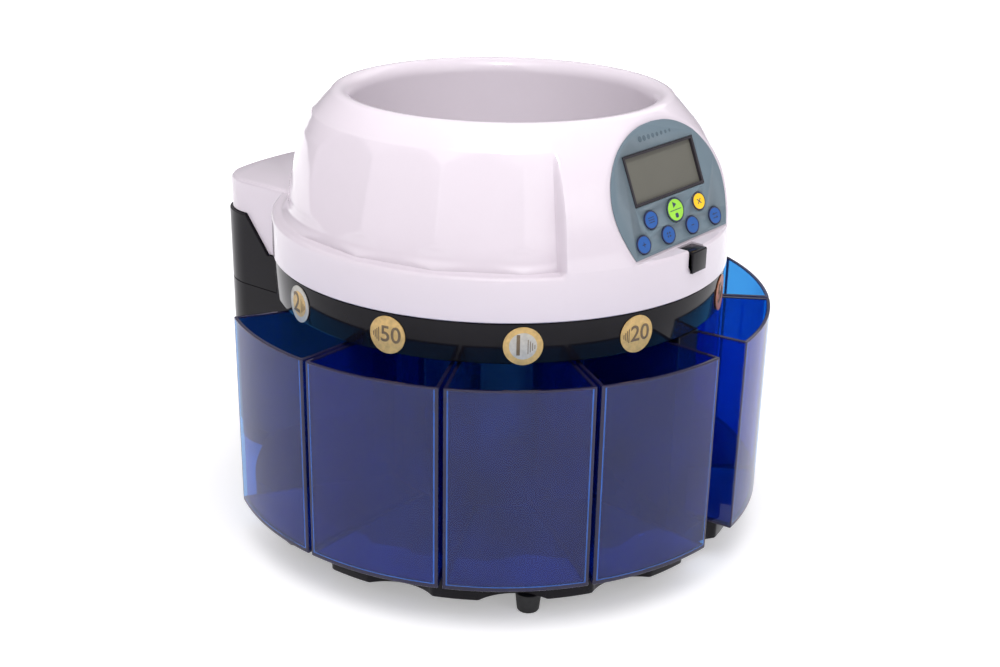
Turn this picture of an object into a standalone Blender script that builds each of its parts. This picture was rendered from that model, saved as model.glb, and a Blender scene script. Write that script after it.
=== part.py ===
"""Desktop coin sorter with eight pull-out coin cups, built as separate parts.

All lengths are in metres and +Z is up.  The front, with its control panel, faces -Y.
Pieces are drawn about the machine's round axis and then moved by AXIS, so that the
origin of the finished object is the centre of its bounding box, on the floor.
Azimuths are in degrees from the front, positive towards -X.
"""
from math import acos, asin, atan2, cos, degrees, pi, radians, sin, sqrt

import bmesh
import bpy
from mathutils import Matrix, Vector

GAP = 0.0003                    # play kept between touching pieces

# heights
FOOT_HEIGHT = 0.012
CUP_BOTTOM = 0.025
CUP_TOP = 0.1428
DRUM_BOTTOM = 0.1457
RING_BOTTOM = 0.169
LEDGE = 0.1935
FRONT_LEDGE = 0.1955
HOPPER_BOTTOM = 0.166
HEIGHT = 0.266

# round bodies
CUP_RADIUS = 0.165
CUP_INNER_RADIUS = 0.0695
DRUM_RADIUS = 0.136
RING_RADIUS = 0.137
PLATE_RADIUS = 0.1535
PLATE_POCKET_RADIUS = 0.128
SCOOP_CENTRE = 0.1755
SCOOP_RADIUS = 0.030
SCOOP_STEP = 24                 # degrees from one scoop to the next, starting at the front
FOOT_CIRCLE = 0.1415
FOOT_AZIMUTH = 44.2
FOOT_RADIUS = 0.0075
COLUMN_RADIUS = 0.066
PILLAR_HALF_ANGLE = 4.5
HOPPER_RADIUS = 0.0884
HOPPER_FOOT_RADIUS = 0.0862
RIM_DROP = 0.0090               # height of the rounding between the rim and the bowl
WALL = 0.0025
COVER_SEGMENTS = 48

# the eight cups, four on each side of the front pillar
CUP_ANGLE = 28.02
CUP_SPACING = 28.78
FRONT_GAP = 10.08
CUP_WALL = 0.002
CUP_AZIMUTHS = [FRONT_GAP / 2 + CUP_ANGLE / 2 + CUP_SPACING * i for i in (3, 2, 1, 0)]
CUP_AZIMUTHS += [-a for a in reversed(CUP_AZIMUTHS)]
LABEL_OFFSETS = [2.0, 1.2, -1.2, 0.0, 0.0, 0.6, -0.8, 0.0]
COIN_DIAMETERS = [0.02575, 0.02425, 0.02325, 0.02225, 0.02125, 0.01975, 0.01875, 0.01625]

# the square box behind the round body
BOX_BACK_RADIUS = 0.1895
BOX_LID_INSET = 0.002
BOX_SIDE_X = 0.069
BOX_CORNER_ROUND = 0.031
BOX_NECK_Y = 0.043
BOX_SPLIT = 0.1735
BOX_TOP = 0.195
BOX_TAB_Y = 0.133
BOX_TAB_Z = 0.150
BOX_TAB_TOP_Y = 0.152

# the pull in the front of the ring
LATCH_HALF = 0.0073
LATCH_NOSE_HALF = 0.0048
LATCH_FACE_Y = -0.1376
LATCH_TOP = 0.1935

# drum floor, chutes, rail and coin pictures
CHUTE_INNER = 0.094
CHUTE_OUTER = 0.127
CHUTE_HALF_ANGLE = 8.5
DRUM_WALL = 0.0035
POST_AZIMUTHS = (0, 62.2, 121, 180, -121, -62.2)
RAIL_INNER = 0.108
RAIL_OUTER = 0.131
RAIL_BOTTOM = 0.1568
RAIL_TOP = 0.1655
SLOT_INNER = 0.1105
SLOT_LIP = 0.011                # part of a coin that stays on the disc when it tips out
SLOT_HALF_ANGLE = 7.5
COIN_LABEL_RADIUS = 0.0106
COIN_LABEL_HEIGHT = 0.1563

# the control panel's flat, which leans back
PANEL_TILT = radians(21.8)
PANEL_DISTANCE = 0.1264
PANEL_HEIGHT = 0.200
PANEL_TURN = pi / 2 - PANEL_TILT
DISPLAY_CENTRE = 0.0375
DISPLAY_SIZE = (0.0706, 0.0276)
SMALL_BUTTON = (0.0063, 0.00495)
LARGE_BUTTON = (0.0082, 0.0066)
BUTTONS = {
    "button_plus": (-0.0372, 0.00385, SMALL_BUTTON, "blue"),
    "button_batch": (-0.0125, 0.00385, SMALL_BUTTON, "blue"),
    "button_minus": (0.0125, 0.00385, SMALL_BUTTON, "blue"),
    "button_set": (0.0372, 0.00385, SMALL_BUTTON, "blue"),
    "button_report": (-0.0249, 0.0149, SMALL_BUTTON, "blue"),
    "button_start_stop": (0.0, 0.0152, LARGE_BUTTON, "green"),
    "button_clear": (0.0249, 0.0149, SMALL_BUTTON, "yellow"),
}

# the flats around the dome's recess
RECESS_START = 37.5
RECESS_END = 180.5
FACET_ANGLE = 20.8
FACET_FIRST = 36.4
FACET_LOW = (0.1262, 0.208)
FACET_HIGH = (0.1154, 0.246)

# button profile, measured out from the panel's flat
BUTTON_FOOT = -0.0040
BUTTON_FLANGE = 1.14
BUTTON_FACE = 0.0011

# hinge of the lid
HINGE_Y = 0.1815
HINGE_Z = 0.186
HINGE_ARM_X = 0.040
HINGE_HEAD = 0.0034
HINGE_ARM_HALF = 0.003          # half the arm's width
HINGE_SLOT_HALF = 0.0036        # half the width of the slot the arm stands in
HINGE_ARM_FOOT = 0.145
PIN_RADIUS = 0.0015
PIN_HALF = 0.0087
BOSS_INNER_X = 0.031
BOSS_OUTER_X = 0.049
TAB_SWING = 0.0640
TAB_NOTCH_LOW = 0.1532

# mains inlet, switch and printer socket in the back wall
REAR_PANEL_HALF = 0.034
REAR_PANEL_LOW = 0.055
REAR_PANEL_HIGH = 0.085
REAR_PANEL_FRONT = 0.1855
REAR_PANEL_BACK = 0.1883
SOCKET_BACK = 0.1888
SOCKET_LOW = 0.060
SOCKET_HIGH = 0.080
INLET_X = (-0.029, -0.001)
SWITCH_X = (0.0050, 0.0180)
PORT_X = (0.022, 0.031)
PORT_Z = (0.063, 0.077)

# drive under the sorting disc
SHAFT_RADIUS = 0.005
DISC_RADIUS = 0.1075
DISC_BOTTOM = 0.160
DISC_THICKNESS = 0.003
FRAME_BOTTOM = 0.130
FRAME_THICKNESS = 0.003
FRAME_RADIUS = 0.0632
MOTOR_RADIUS = 0.018
MOTOR_BOTTOM = 0.082
HUB_TOP = 0.1775
SENSOR_RING = (0.064, 0.089)
BOARD_THICKNESS = 0.0016
GEAR_MODULE = 0.0015
GEAR_TEETH = 36
PINION_TEETH = 12
GEAR_BOTTOM = 0.134
GEAR_WIDTH = 0.007
GEAR_CENTRES = (GEAR_TEETH + PINION_TEETH) * GEAR_MODULE / 2 + 0.00025

# the machine's round axis, set so that the bounding box is centred on the origin
FRONT_EDGE = CUP_RADIUS * cos(radians(FRONT_GAP / 2))
AXIS = Vector((0, (FRONT_EDGE - BOX_BACK_RADIUS) / 2, 0))

COLOURS = {
    "white": ((0.76, 0.69, 0.74), 0.22, 0.0),
    "black": ((0.018, 0.014, 0.017), 0.16, 0.0),
    "blue_clear": ((0.01, 0.05, 0.42), 0.08, 0.0),
    "label": ((0.15, 0.20, 0.23), 0.4, 0.0),
    "glass": ((0.16, 0.155, 0.13), 0.08, 0.0),
    "blue": ((0.02, 0.14, 0.46), 0.4, 0.0),
    "green": ((0.30, 0.68, 0.05), 0.4, 0.0),
    "yellow": ((0.95, 0.58, 0.01), 0.4, 0.0),
    "board": ((0.02, 0.20, 0.08), 0.5, 0.0),
    "rubber": ((0.02, 0.02, 0.022), 0.8, 0.0),
    "steel": ((0.55, 0.55, 0.57), 0.3, 1.0),
    "brass": ((0.75, 0.55, 0.22), 0.3, 1.0),
    "gold": ((0.70, 0.52, 0.20), 0.4, 0.6),
    "silver": ((0.66, 0.64, 0.58), 0.4, 0.6),
    "copper": ((0.65, 0.30, 0.16), 0.4, 0.6),
    "grey": ((0.25, 0.25, 0.27), 0.45, 0.0),
}


# ---------------------------------------------------------------- helpers

def clear_scene():
    for obj in list(bpy.data.objects):
        bpy.data.objects.remove(obj, do_unlink=True)


def material(name):
    """The named Principled material, made once."""
    found = bpy.data.materials.get(name)
    if found:
        return found
    colour, roughness, metallic = COLOURS[name]
    made = bpy.data.materials.new(name)
    made.use_nodes = True
    shader = made.node_tree.nodes["Principled BSDF"]
    shader.inputs["Base Color"].default_value = (*colour, 1)
    shader.inputs["Roughness"].default_value = roughness
    shader.inputs["Metallic"].default_value = metallic
    if name == "blue_clear":
        shader.inputs["Transmission Weight"].default_value = 0.8
    return made


def polar(radius, azimuth, z=0.0):
    """A point at an azimuth in degrees from the front, positive towards -X."""
    turn = radians(azimuth)
    return Vector((-radius * sin(turn), -radius * cos(turn), z))


def mesh_object(name, points, faces):
    """A closed mesh object whose faces point outwards."""
    mesh = bpy.data.meshes.new(name)
    mesh.from_pydata([tuple(p) for p in points], [], faces)
    bm = bmesh.new()
    bm.from_mesh(mesh)
    bmesh.ops.recalc_face_normals(bm, faces=bm.faces)
    bm.to_mesh(mesh)
    bm.free()
    obj = bpy.data.objects.new(name, mesh)
    bpy.context.collection.objects.link(obj)
    return obj


def lathe(name, profile, segments=48, centre=(0, 0)):
    """A closed loop of (radius, z) points turned once about a vertical axis.

    A point at radius 0 becomes a pole.
    """
    points = []
    rings = []
    for radius, z in profile:
        if radius == 0:
            rings.append([len(points)])
            points.append((centre[0], centre[1], z))
            continue
        ring = []
        for k in range(segments):
            turn = 2 * pi * k / segments
            ring.append(len(points))
            points.append((centre[0] + radius * sin(turn), centre[1] - radius * cos(turn), z))
        rings.append(ring)
    faces = []
    for low, high in zip(rings, rings[1:] + rings[:1]):
        if len(low) == 1 and len(high) == 1:
            continue
        for k in range(segments):
            n = (k + 1) % segments
            face = [low[k % len(low)], low[n % len(low)], high[n % len(high)], high[k % len(high)]]
            faces.append(list(dict.fromkeys(face)))
    return mesh_object(name, points, faces)


def sector(name, profile, start, end, segments):
    """A closed loop of (radius, z) points swept between two azimuths, with flat ends."""
    points = []
    count = len(profile)
    for k in range(segments + 1):
        azimuth = start + (end - start) * k / segments
        points += [polar(radius, azimuth, z) for radius, z in profile]
    faces = []
    for k in range(segments):
        for i in range(count):
            j = (i + 1) % count
            faces.append([k * count + i, k * count + j, (k + 1) * count + j, (k + 1) * count + i])
    faces.append(list(range(count)))
    faces.append([segments * count + i for i in range(count)])
    return mesh_object(name, points, faces)


def prism(name, outline, low, high, axes="xyz"):
    """An outline of two coordinates, extruded from low to high along the third axis.

    axes names the outline's two axes and then the extrusion's.
    """
    order = ["xyz".index(a) for a in axes]
    points = []
    for level in (low, high):
        for first, second in outline:
            point = [0.0, 0.0, 0.0]
            point[order[0]] = first
            point[order[1]] = second
            point[order[2]] = level
            points.append(point)
    count = len(outline)
    faces = [list(range(count)), list(range(count, 2 * count))]
    for i in range(count):
        j = (i + 1) % count
        faces.append([i, j, count + j, count + i])
    return mesh_object(name, points, faces)


def box(name, low, high):
    outline = [(low[0], low[1]), (high[0], low[1]), (high[0], high[1]), (low[0], high[1])]
    return prism(name, outline, low[2], high[2])


def ellipse(half_width, half_height, centre=(0, 0), count=14, phase=0.1):
    turns = [2 * pi * k / count + phase for k in range(count)]
    return [(centre[0] + half_width * cos(t), centre[1] + half_height * sin(t)) for t in turns]


def rounded(outline, radius, steps=4):
    """The outline with each corner replaced by an arc of the given radius."""
    result = []
    count = len(outline)
    for i in range(count):
        corner = Vector(outline[i])
        before = (Vector(outline[i - 1]) - corner).normalized()
        after = (Vector(outline[(i + 1) % count]) - corner).normalized()
        half = acos(max(-1.0, min(1.0, before.dot(after)))) / 2
        if half > radians(80):
            result.append(tuple(corner))
            continue
        centre = corner + (before + after).normalized() * radius / sin(half)
        first = corner + before * radius / (sin(half) / cos(half)) - centre
        last = corner + after * radius / (sin(half) / cos(half)) - centre
        sweep = first.angle_signed(last)
        for k in range(steps + 1):
            turned = Matrix.Rotation(-sweep * k / steps, 2) @ first
            result.append(tuple(centre + turned))
    return result


def spline(points, steps):
    """A Catmull-Rom curve through the points, with a few steps between each pair."""
    ends = [2 * Vector(points[0]) - Vector(points[1])]
    ends += [Vector(p) for p in points]
    ends += [2 * Vector(points[-1]) - Vector(points[-2])]
    curve = []
    for a, b, c, d in zip(ends, ends[1:], ends[2:], ends[3:]):
        for k in range(steps):
            t = k / steps
            curve.append(tuple(0.5 * (2 * b + (c - a) * t + (2 * a - 5 * b + 4 * c - d) * t ** 2
                                      + (3 * b - a - 3 * c + d) * t ** 3)))
    return curve + [tuple(points[-1])]


def combine(target, tool, operation):
    """Join, cut or intersect the target with a tool, and remove the tool."""
    modifier = target.modifiers.new("combine", "BOOLEAN")
    modifier.operation = operation
    modifier.solver = "EXACT"
    modifier.object = tool
    bpy.context.view_layer.update()
    graph = bpy.context.evaluated_depsgraph_get()
    result = bpy.data.meshes.new_from_object(target.evaluated_get(graph))
    target.modifiers.clear()
    target.data = result
    bpy.data.objects.remove(tool, do_unlink=True)
    return target


def join(target, tool):
    return combine(target, tool, "UNION")


def cut(target, tool):
    return combine(target, tool, "DIFFERENCE")


def finish(obj, colour, origin=(0, 0, 0)):
    """Colour a piece, shade it and put its origin at a point in the machine's frame."""
    obj.data.materials.clear()
    obj.data.materials.append(material(colour))
    origin = Vector(origin)
    obj.data.transform(Matrix.Translation(-origin))
    obj.location = origin + AXIS
    obj.data.shade_smooth()
    obj.data.set_sharp_from_angle(angle=radians(30))
    return obj


def finish_on_panel(obj, colour, x=0.0, v=0.0):
    """Place a piece drawn flat, with +Z out of the panel, at (x, v) on the leaning panel."""
    obj.data.materials.clear()
    obj.data.materials.append(material(colour))
    obj.rotation_euler = (PANEL_TURN, 0, 0)
    obj.location = panel_point(x, v, 0) + AXIS
    obj.data.shade_smooth()
    obj.data.set_sharp_from_angle(angle=radians(30))
    return obj


def panel_point(x, v, n):
    """The point x to the right, v up the slope and n out of the panel's flat."""
    y = -PANEL_DISTANCE + v * sin(PANEL_TILT) - n * cos(PANEL_TILT)
    return Vector((x, y, PANEL_HEIGHT + v * cos(PANEL_TILT) + n * sin(PANEL_TILT)))


def on_panel(obj):
    """Turn a tool drawn flat into the panel's place."""
    turn = Matrix.Rotation(PANEL_TURN, 4, "X")
    obj.data.transform(Matrix.Translation(panel_point(0, 0, 0)) @ turn)
    return obj


# ---------------------------------------------------------------- outlines

def box_outline(inset, steps=6):
    """Plan of the rear box: straight sides, round corners and a back centred on the axis."""
    back = BOX_BACK_RADIUS - inset
    side = BOX_SIDE_X - inset
    corner = BOX_CORNER_ROUND - inset
    centre_x = side - corner
    centre_y = sqrt((back - corner) ** 2 - centre_x ** 2)
    meeting = atan2(centre_y, centre_x)
    half = [(side, BOX_NECK_Y + inset)]
    for k in range(steps + 1):
        turn = meeting * k / steps
        half.append((centre_x + corner * cos(turn), centre_y + corner * sin(turn)))
    for k in range(1, 4):
        turn = meeting + (pi / 2 - meeting) * k / 4
        half.append((back * cos(turn), back * sin(turn)))
    mirrored = [(-x, y) for x, y in reversed(half)]
    return half + [(0, back)] + mirrored


def tab_arc(radius, low, high):
    """Side view of the lid tab's front edge, an arc about the hinge, from low to high."""
    heights = [low + (high - low) * k / 6 for k in range(7)]
    return [(HINGE_Y - sqrt(radius ** 2 - (HINGE_Z - z) ** 2), z) for z in heights]


def dome_profile(steps=3):
    """Outside of the dome, from the ring's top edge up to the hopper's rim."""
    return spline([(0.137, 0.1955), (0.1351, 0.208), (0.1299, 0.226), (0.1193, 0.244),
                   (0.107, 0.258), (0.1010, 0.2634), (0.0968, HEIGHT)], steps)


def dome_radius(z):
    profile = dome_profile(6)
    for (r0, z0), (r1, z1) in zip(profile, profile[1:]):
        if z0 <= z <= z1:
            return r0 + (r1 - r0) * (z - z0) / (z1 - z0)
    return RING_RADIUS


def facet_radius(z):
    """Radius of the edge between two flats at a height."""
    slope = (FACET_HIGH[0] - FACET_LOW[0]) / (FACET_HIGH[1] - FACET_LOW[1])
    return FACET_LOW[0] + slope * (z - FACET_LOW[1])


def label_outline():
    """The panel label: nearly the outline of the flat, with a rounder top."""
    right = spline([(0.0470, -0.0031), (0.0512, 0.006), (0.0548, 0.017), (0.0550, 0.029),
                    (0.0500, 0.042), (0.0395, 0.0535), (0.0270, 0.0605), (0.0135, 0.0644),
                    (0.0, 0.0655)], 3)
    left = [(-x, v) for x, v in reversed(right[:-1])]
    return right + left


def gear_outline(teeth, phase):
    """Straight-sided teeth, thin enough to run with play."""
    pitch = teeth * GEAR_MODULE / 2
    root = pitch - 1.05 * GEAR_MODULE
    tip = pitch + 0.75 * GEAR_MODULE
    step = 2 * pi / teeth
    outline = []
    for k in range(teeth):
        middle = step * (k + phase)
        for radius, share in ((root, -0.32), (tip, -0.13), (tip, 0.13), (root, 0.32)):
            turn = middle + step * share
            outline.append((radius * cos(turn), radius * sin(turn)))
    return outline


# ---------------------------------------------------------------- fixed base

def base_plate():
    """Flat foot plate with shallow scoops evenly spaced round its edge."""
    plate = prism("base_plate", ellipse(PLATE_RADIUS, PLATE_RADIUS, count=48), FOOT_HEIGHT,
                  CUP_BOTTOM - GAP)
    for number in range(-5, 6):
        centre = polar(SCOOP_CENTRE, SCOOP_STEP * number)
        scoop = prism("scoop", ellipse(SCOOP_RADIUS, SCOOP_RADIUS, centre, 16), 0, 0.05)
        cut(plate, scoop)
    join(plate, prism("rear_foot", box_outline(0.001), FOOT_HEIGHT, CUP_BOTTOM - GAP))
    deck = CUP_BOTTOM - GAP - WALL
    pocket = [(0, 0), (PLATE_POCKET_RADIUS, 0), (PLATE_POCKET_RADIUS, deck), (0, deck)]
    cut(plate, lathe("pocket", pocket, 48))
    rear_pocket = prism("rear_pocket", box_outline(0.006), 0.001, deck)
    cut(rear_pocket, box("front_part", (-0.1, 0.0, 0.0), (0.1, 0.134, 0.1)))
    cut(plate, rear_pocket)
    finish(plate, "black")


def feet():
    names = {"foot_front_left": FOOT_AZIMUTH, "foot_front_right": -FOOT_AZIMUTH,
             "foot_rear_left": 180 - FOOT_AZIMUTH, "foot_rear_right": FOOT_AZIMUTH - 180}
    top = FOOT_HEIGHT - GAP
    for name, azimuth in names.items():
        centre = polar(FOOT_CIRCLE, azimuth)
        profile = [(0, 0), (0.0052, 0), (0.0062, 0.001), (FOOT_RADIUS, top), (0, top)]
        foot = lathe(name, profile, 16, centre)
        finish(foot, "rubber", centre)


def rear_housing():
    """Column under the drum and the square box behind it, as one hollow moulding."""
    column_top = DRUM_BOTTOM - GAP
    body = prism("rear_housing", box_outline(0), CUP_BOTTOM, BOX_SPLIT)
    column = [(0, CUP_BOTTOM), (COLUMN_RADIUS, CUP_BOTTOM), (COLUMN_RADIUS, 0.148),
              (0, 0.148)]
    join(body, lathe("column", column, 40))
    inside = prism("inside", box_outline(WALL), 0.02, 0.2)
    inner = COLUMN_RADIUS - WALL
    shelf = inner - 0.0035
    shelf_top = FRAME_BOTTOM - GAP
    bore = [(0, 0.021), (inner, 0.021), (inner, shelf_top - 0.0065), (shelf, shelf_top - 0.003),
            (shelf, shelf_top), (inner, shelf_top), (inner, 0.16), (0, 0.16)]
    join(inside, lathe("bore", bore, 40))
    cut(body, inside)
    hole = REAR_PANEL_HALF + GAP
    cut(body, box("panel_hole", (-hole, 0.17, REAR_PANEL_LOW - GAP),
                  (hole, 0.2, REAR_PANEL_HIGH + GAP)))
    drum = DRUM_RADIUS + GAP
    clearance = [(0, column_top), (drum, column_top), (drum, 0.2), (0, 0.2)]
    cut(body, lathe("drum_space", clearance, 48))
    cheek = tab_arc(TAB_SWING + 2 * GAP, BOX_TAB_Z, RING_BOTTOM - 2 * GAP)
    slant = [(BOX_TAB_Y, BOX_TAB_Z), (BOX_TAB_TOP_Y, BOX_SPLIT), (BOX_TAB_TOP_Y, 0.2), (0.1, 0.2),
             (0.1, RING_BOTTOM - 2 * GAP)] + cheek[::-1]
    cut(body, prism("slant", slant, -0.1, 0.1, "yzx"))
    finish(body, "black")


def front_pillar():
    """Hollow post between the two front cups, flush with the drum."""
    def wedge(name, inner, outer, half, low, high):
        arc = [polar(outer, half - 2 * half * k / 4) for k in range(5)]
        back = [polar(inner, -half), polar(inner, half)]
        return prism(name, [(p.x, p.y) for p in arc + back], low, high)
    top = DRUM_BOTTOM - GAP
    pillar = wedge("front_pillar", COLUMN_RADIUS + GAP, DRUM_RADIUS, PILLAR_HALF_ANGLE,
                   CUP_BOTTOM, top)
    hollow = wedge("hollow", COLUMN_RADIUS - 0.002, DRUM_RADIUS - WALL,
                   PILLAR_HALF_ANGLE - 1.4, CUP_BOTTOM + WALL, top - WALL)
    cut(pillar, hollow)
    finish(pillar, "black")


def drum_housing():
    """Shallow round tray over the cups, with a chute hole above each cup."""
    floor = DRUM_BOTTOM + WALL
    top = RING_BOTTOM - GAP
    inner = DRUM_RADIUS - DRUM_WALL
    eye = COLUMN_RADIUS - 0.006
    profile = [(eye, DRUM_BOTTOM), (DRUM_RADIUS, DRUM_BOTTOM), (DRUM_RADIUS, top),
               (inner, top), (inner, floor), (eye, floor)]
    drum = lathe("drum_housing", profile, 48)
    hole = [(CHUTE_INNER, 0.14), (CHUTE_OUTER, 0.14), (CHUTE_OUTER, 0.15), (CHUTE_INNER, 0.15)]
    for azimuth in CUP_AZIMUTHS:
        start = azimuth - CHUTE_HALF_ANGLE
        cut(drum, sector("chute", hole, start, start + 2 * CHUTE_HALF_ANGLE, 2))
    post_top = RAIL_BOTTOM - GAP
    post = [(0.119, floor - 0.001), (0.129, floor - 0.001), (0.129, post_top),
            (0.119, post_top)]
    for azimuth in POST_AZIMUTHS:
        join(drum, sector("post", post, azimuth - 1.2, azimuth + 1.2, 1))
    notch = [(0.125, TAB_NOTCH_LOW), (0.140, TAB_NOTCH_LOW), (0.140, 0.18), (0.125, 0.18)]
    for side in (-1, 1):
        cut(drum, sector("notch", notch, side * 150.5, side * 158.5, 2))
    finish(drum, "black")


def sorting_rail():
    """Fixed ring round the disc.  Each slot is a little wider, so a coin size drops there."""
    deck = RAIL_BOTTOM + WALL
    kerb = RAIL_OUTER - 0.0032
    profile = [(RAIL_INNER, RAIL_BOTTOM), (RAIL_OUTER, RAIL_BOTTOM), (RAIL_OUTER, RAIL_TOP),
               (kerb, RAIL_TOP), (kerb, deck), (RAIL_INNER, deck)]
    rail = lathe("sorting_rail", profile, 48)
    for azimuth, diameter in zip(CUP_AZIMUTHS, COIN_DIAMETERS):
        reach = SLOT_INNER + diameter - SLOT_LIP
        slot = [(SLOT_INNER, 0.15), (reach, 0.15), (reach, 0.164), (SLOT_INNER, 0.164)]
        start = azimuth - SLOT_HALF_ANGLE
        cut(rail, sector("slot", slot, start, start + 2 * SLOT_HALF_ANGLE, 2))
    finish(rail, "steel")


def coin_labels():
    """One round picture of a coin on the drum above each cup."""
    colours = ["silver", "gold", "gold", "gold", "copper", "gold", "copper", "copper"]
    radius = COIN_LABEL_RADIUS
    centre_z = COIN_LABEL_HEIGHT
    count = 20
    middles = [cup + offset for cup, offset in zip(CUP_AZIMUTHS, LABEL_OFFSETS)]
    for number, (azimuth, colour) in enumerate(zip(middles, colours), 1):
        points = []
        for depth in (DRUM_RADIUS + GAP, DRUM_RADIUS + 2 * GAP):
            for across, up in ellipse(radius, radius, count=count, phase=0):
                turn = azimuth + degrees(across / depth)
                points.append(polar(depth, turn, centre_z + up))
        rim = [[k, (k + 1) % count, count + (k + 1) % count, count + k] for k in range(count)]
        front = strip_faces(count, count)
        back = strip_faces(count, 0)
        label = mesh_object(f"coin_label_{number}", points, rim + front + back)
        finish(label, colour, polar(DRUM_RADIUS, azimuth, centre_z))


def strip_faces(count, base):
    """Vertical strips that fill a ring of points numbered round from its right side."""
    half = count // 2
    faces = []
    for k in range(half):
        a = base + k
        b = base + k + 1
        c = base + (count - k - 1) % count
        d = base + (count - k) % count
        faces.append(list(dict.fromkeys([a, b, c, d])))
    return faces


def drive():
    """Frame, bearing and motor in the column, and the geared shaft of the disc."""
    frame_top = FRAME_BOTTOM + FRAME_THICKNESS
    frame = [(0.0093, FRAME_BOTTOM), (FRAME_RADIUS, FRAME_BOTTOM), (FRAME_RADIUS, frame_top),
             (0.0093, frame_top)]
    plate = lathe("drive_frame", frame, 40)
    motor_x = -GEAR_CENTRES
    cut(plate, prism("shaft_hole", ellipse(0.0037, 0.0037, (motor_x, 0), 16), 0.12, 0.14))
    cut(plate, box("cable_notch", (-0.0113, 0.0487, 0.12), (0.0127, 0.07, 0.14)))
    finish(plate, "steel")

    bore = SHAFT_RADIUS + GAP
    bush = [(bore, 0.1265), (0.009, 0.1265), (0.009, frame_top), (bore, frame_top)]
    finish(lathe("shaft_bearing", bush, 20), "brass")

    motor_top = FRAME_BOTTOM - GAP
    edge = 0.0015
    body = MOTOR_BOTTOM + 0.004
    motor = [(0, MOTOR_BOTTOM), (0.007, MOTOR_BOTTOM), (0.007, body), (MOTOR_RADIUS - edge, body),
             (MOTOR_RADIUS, body + edge), (MOTOR_RADIUS, motor_top - edge),
             (MOTOR_RADIUS - edge, motor_top), (0, motor_top)]
    finish(lathe("drive_motor", motor, 24, (motor_x, 0)), "steel", (motor_x, 0, 0))

    shaft = [(0, 0.122), (SHAFT_RADIUS, 0.122), (SHAFT_RADIUS, 0.168), (0, 0.168)]
    finish(lathe("drive_shaft", shaft, 20), "steel")

    gear_top = GEAR_BOTTOM + GEAR_WIDTH
    gear = prism("drive_gear", gear_outline(GEAR_TEETH, 0), GEAR_BOTTOM, gear_top)
    cut(gear, prism("bore", ellipse(bore, bore, count=20), 0.13, 0.15))
    finish(gear, "white")

    pinion = prism("motor_pinion", gear_outline(PINION_TEETH, 0.5), GEAR_BOTTOM, gear_top)
    axle = [(0, FRAME_BOTTOM), (0.003, FRAME_BOTTOM), (0.003, gear_top + 0.001),
            (0, gear_top + 0.001)]
    join(pinion, lathe("axle", axle, 16))
    pinion.data.transform(Matrix.Translation((motor_x, 0, 0)))
    finish(pinion, "brass", (motor_x, 0, 0))


def sorting_disc():
    """Turning disc at the bottom of the hopper, and the hub with its three paddles."""
    bore = SHAFT_RADIUS + GAP
    top = DISC_BOTTOM + DISC_THICKNESS
    profile = [(bore, 0.151), (0.017, 0.151), (0.020, DISC_BOTTOM), (DISC_RADIUS, DISC_BOTTOM),
               (DISC_RADIUS, top), (bore, top)]
    finish(lathe("sorting_disc", profile, 48), "grey")

    low = top + GAP
    hub_profile = [(0, 0.1683), (bore, 0.1683), (bore, low), (0.028, low), (0.0272, low + 0.0028),
                   (0.015, 0.1715), (0.0095, 0.1762), (0, HUB_TOP)]
    hub = lathe("disc_hub", hub_profile, 20)
    for k in range(3):
        paddle = rounded([(0.018, -0.004), (0.062, -0.003), (0.062, 0.003), (0.018, 0.004)],
                         0.0025, 2)
        blade = prism("paddle", paddle, low, low + 0.0045)
        blade.data.transform(Matrix.Rotation(2 * pi * k / 3, 4, "Z"))
        join(hub, blade)
    finish(hub, "rubber")


def electrics():
    """Sensor ring, power supply and mains inlet."""
    board_low = DRUM_BOTTOM + WALL + GAP
    board_top = board_low + BOARD_THICKNESS
    inner, outer = SENSOR_RING
    ring = [(inner, board_low), (outer, board_low), (outer, board_top), (inner, board_top)]
    finish(lathe("sensor_board", ring, 40), "board")

    floor = CUP_BOTTOM
    core = box("transformer", (-0.026, 0.086, floor), (0.026, 0.130, floor + 0.046))
    join(core, box("winding", (-0.016, 0.078, floor + 0.008), (0.016, 0.138, floor + 0.038)))
    finish(core, "steel", (0, 0.108, floor))

    board = box("main_board", (-0.048, 0.1460, 0.088), (0.048, 0.1476, 0.146))
    join(board, box("heat_sink", (-0.030, 0.1475, 0.095), (-0.010, 0.1560, 0.125)))
    join(board, box("plug_strip", (0.005, 0.1475, 0.128), (0.040, 0.1550, 0.138)))
    finish(board, "board", (0, 0.146, 0.088))


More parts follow.
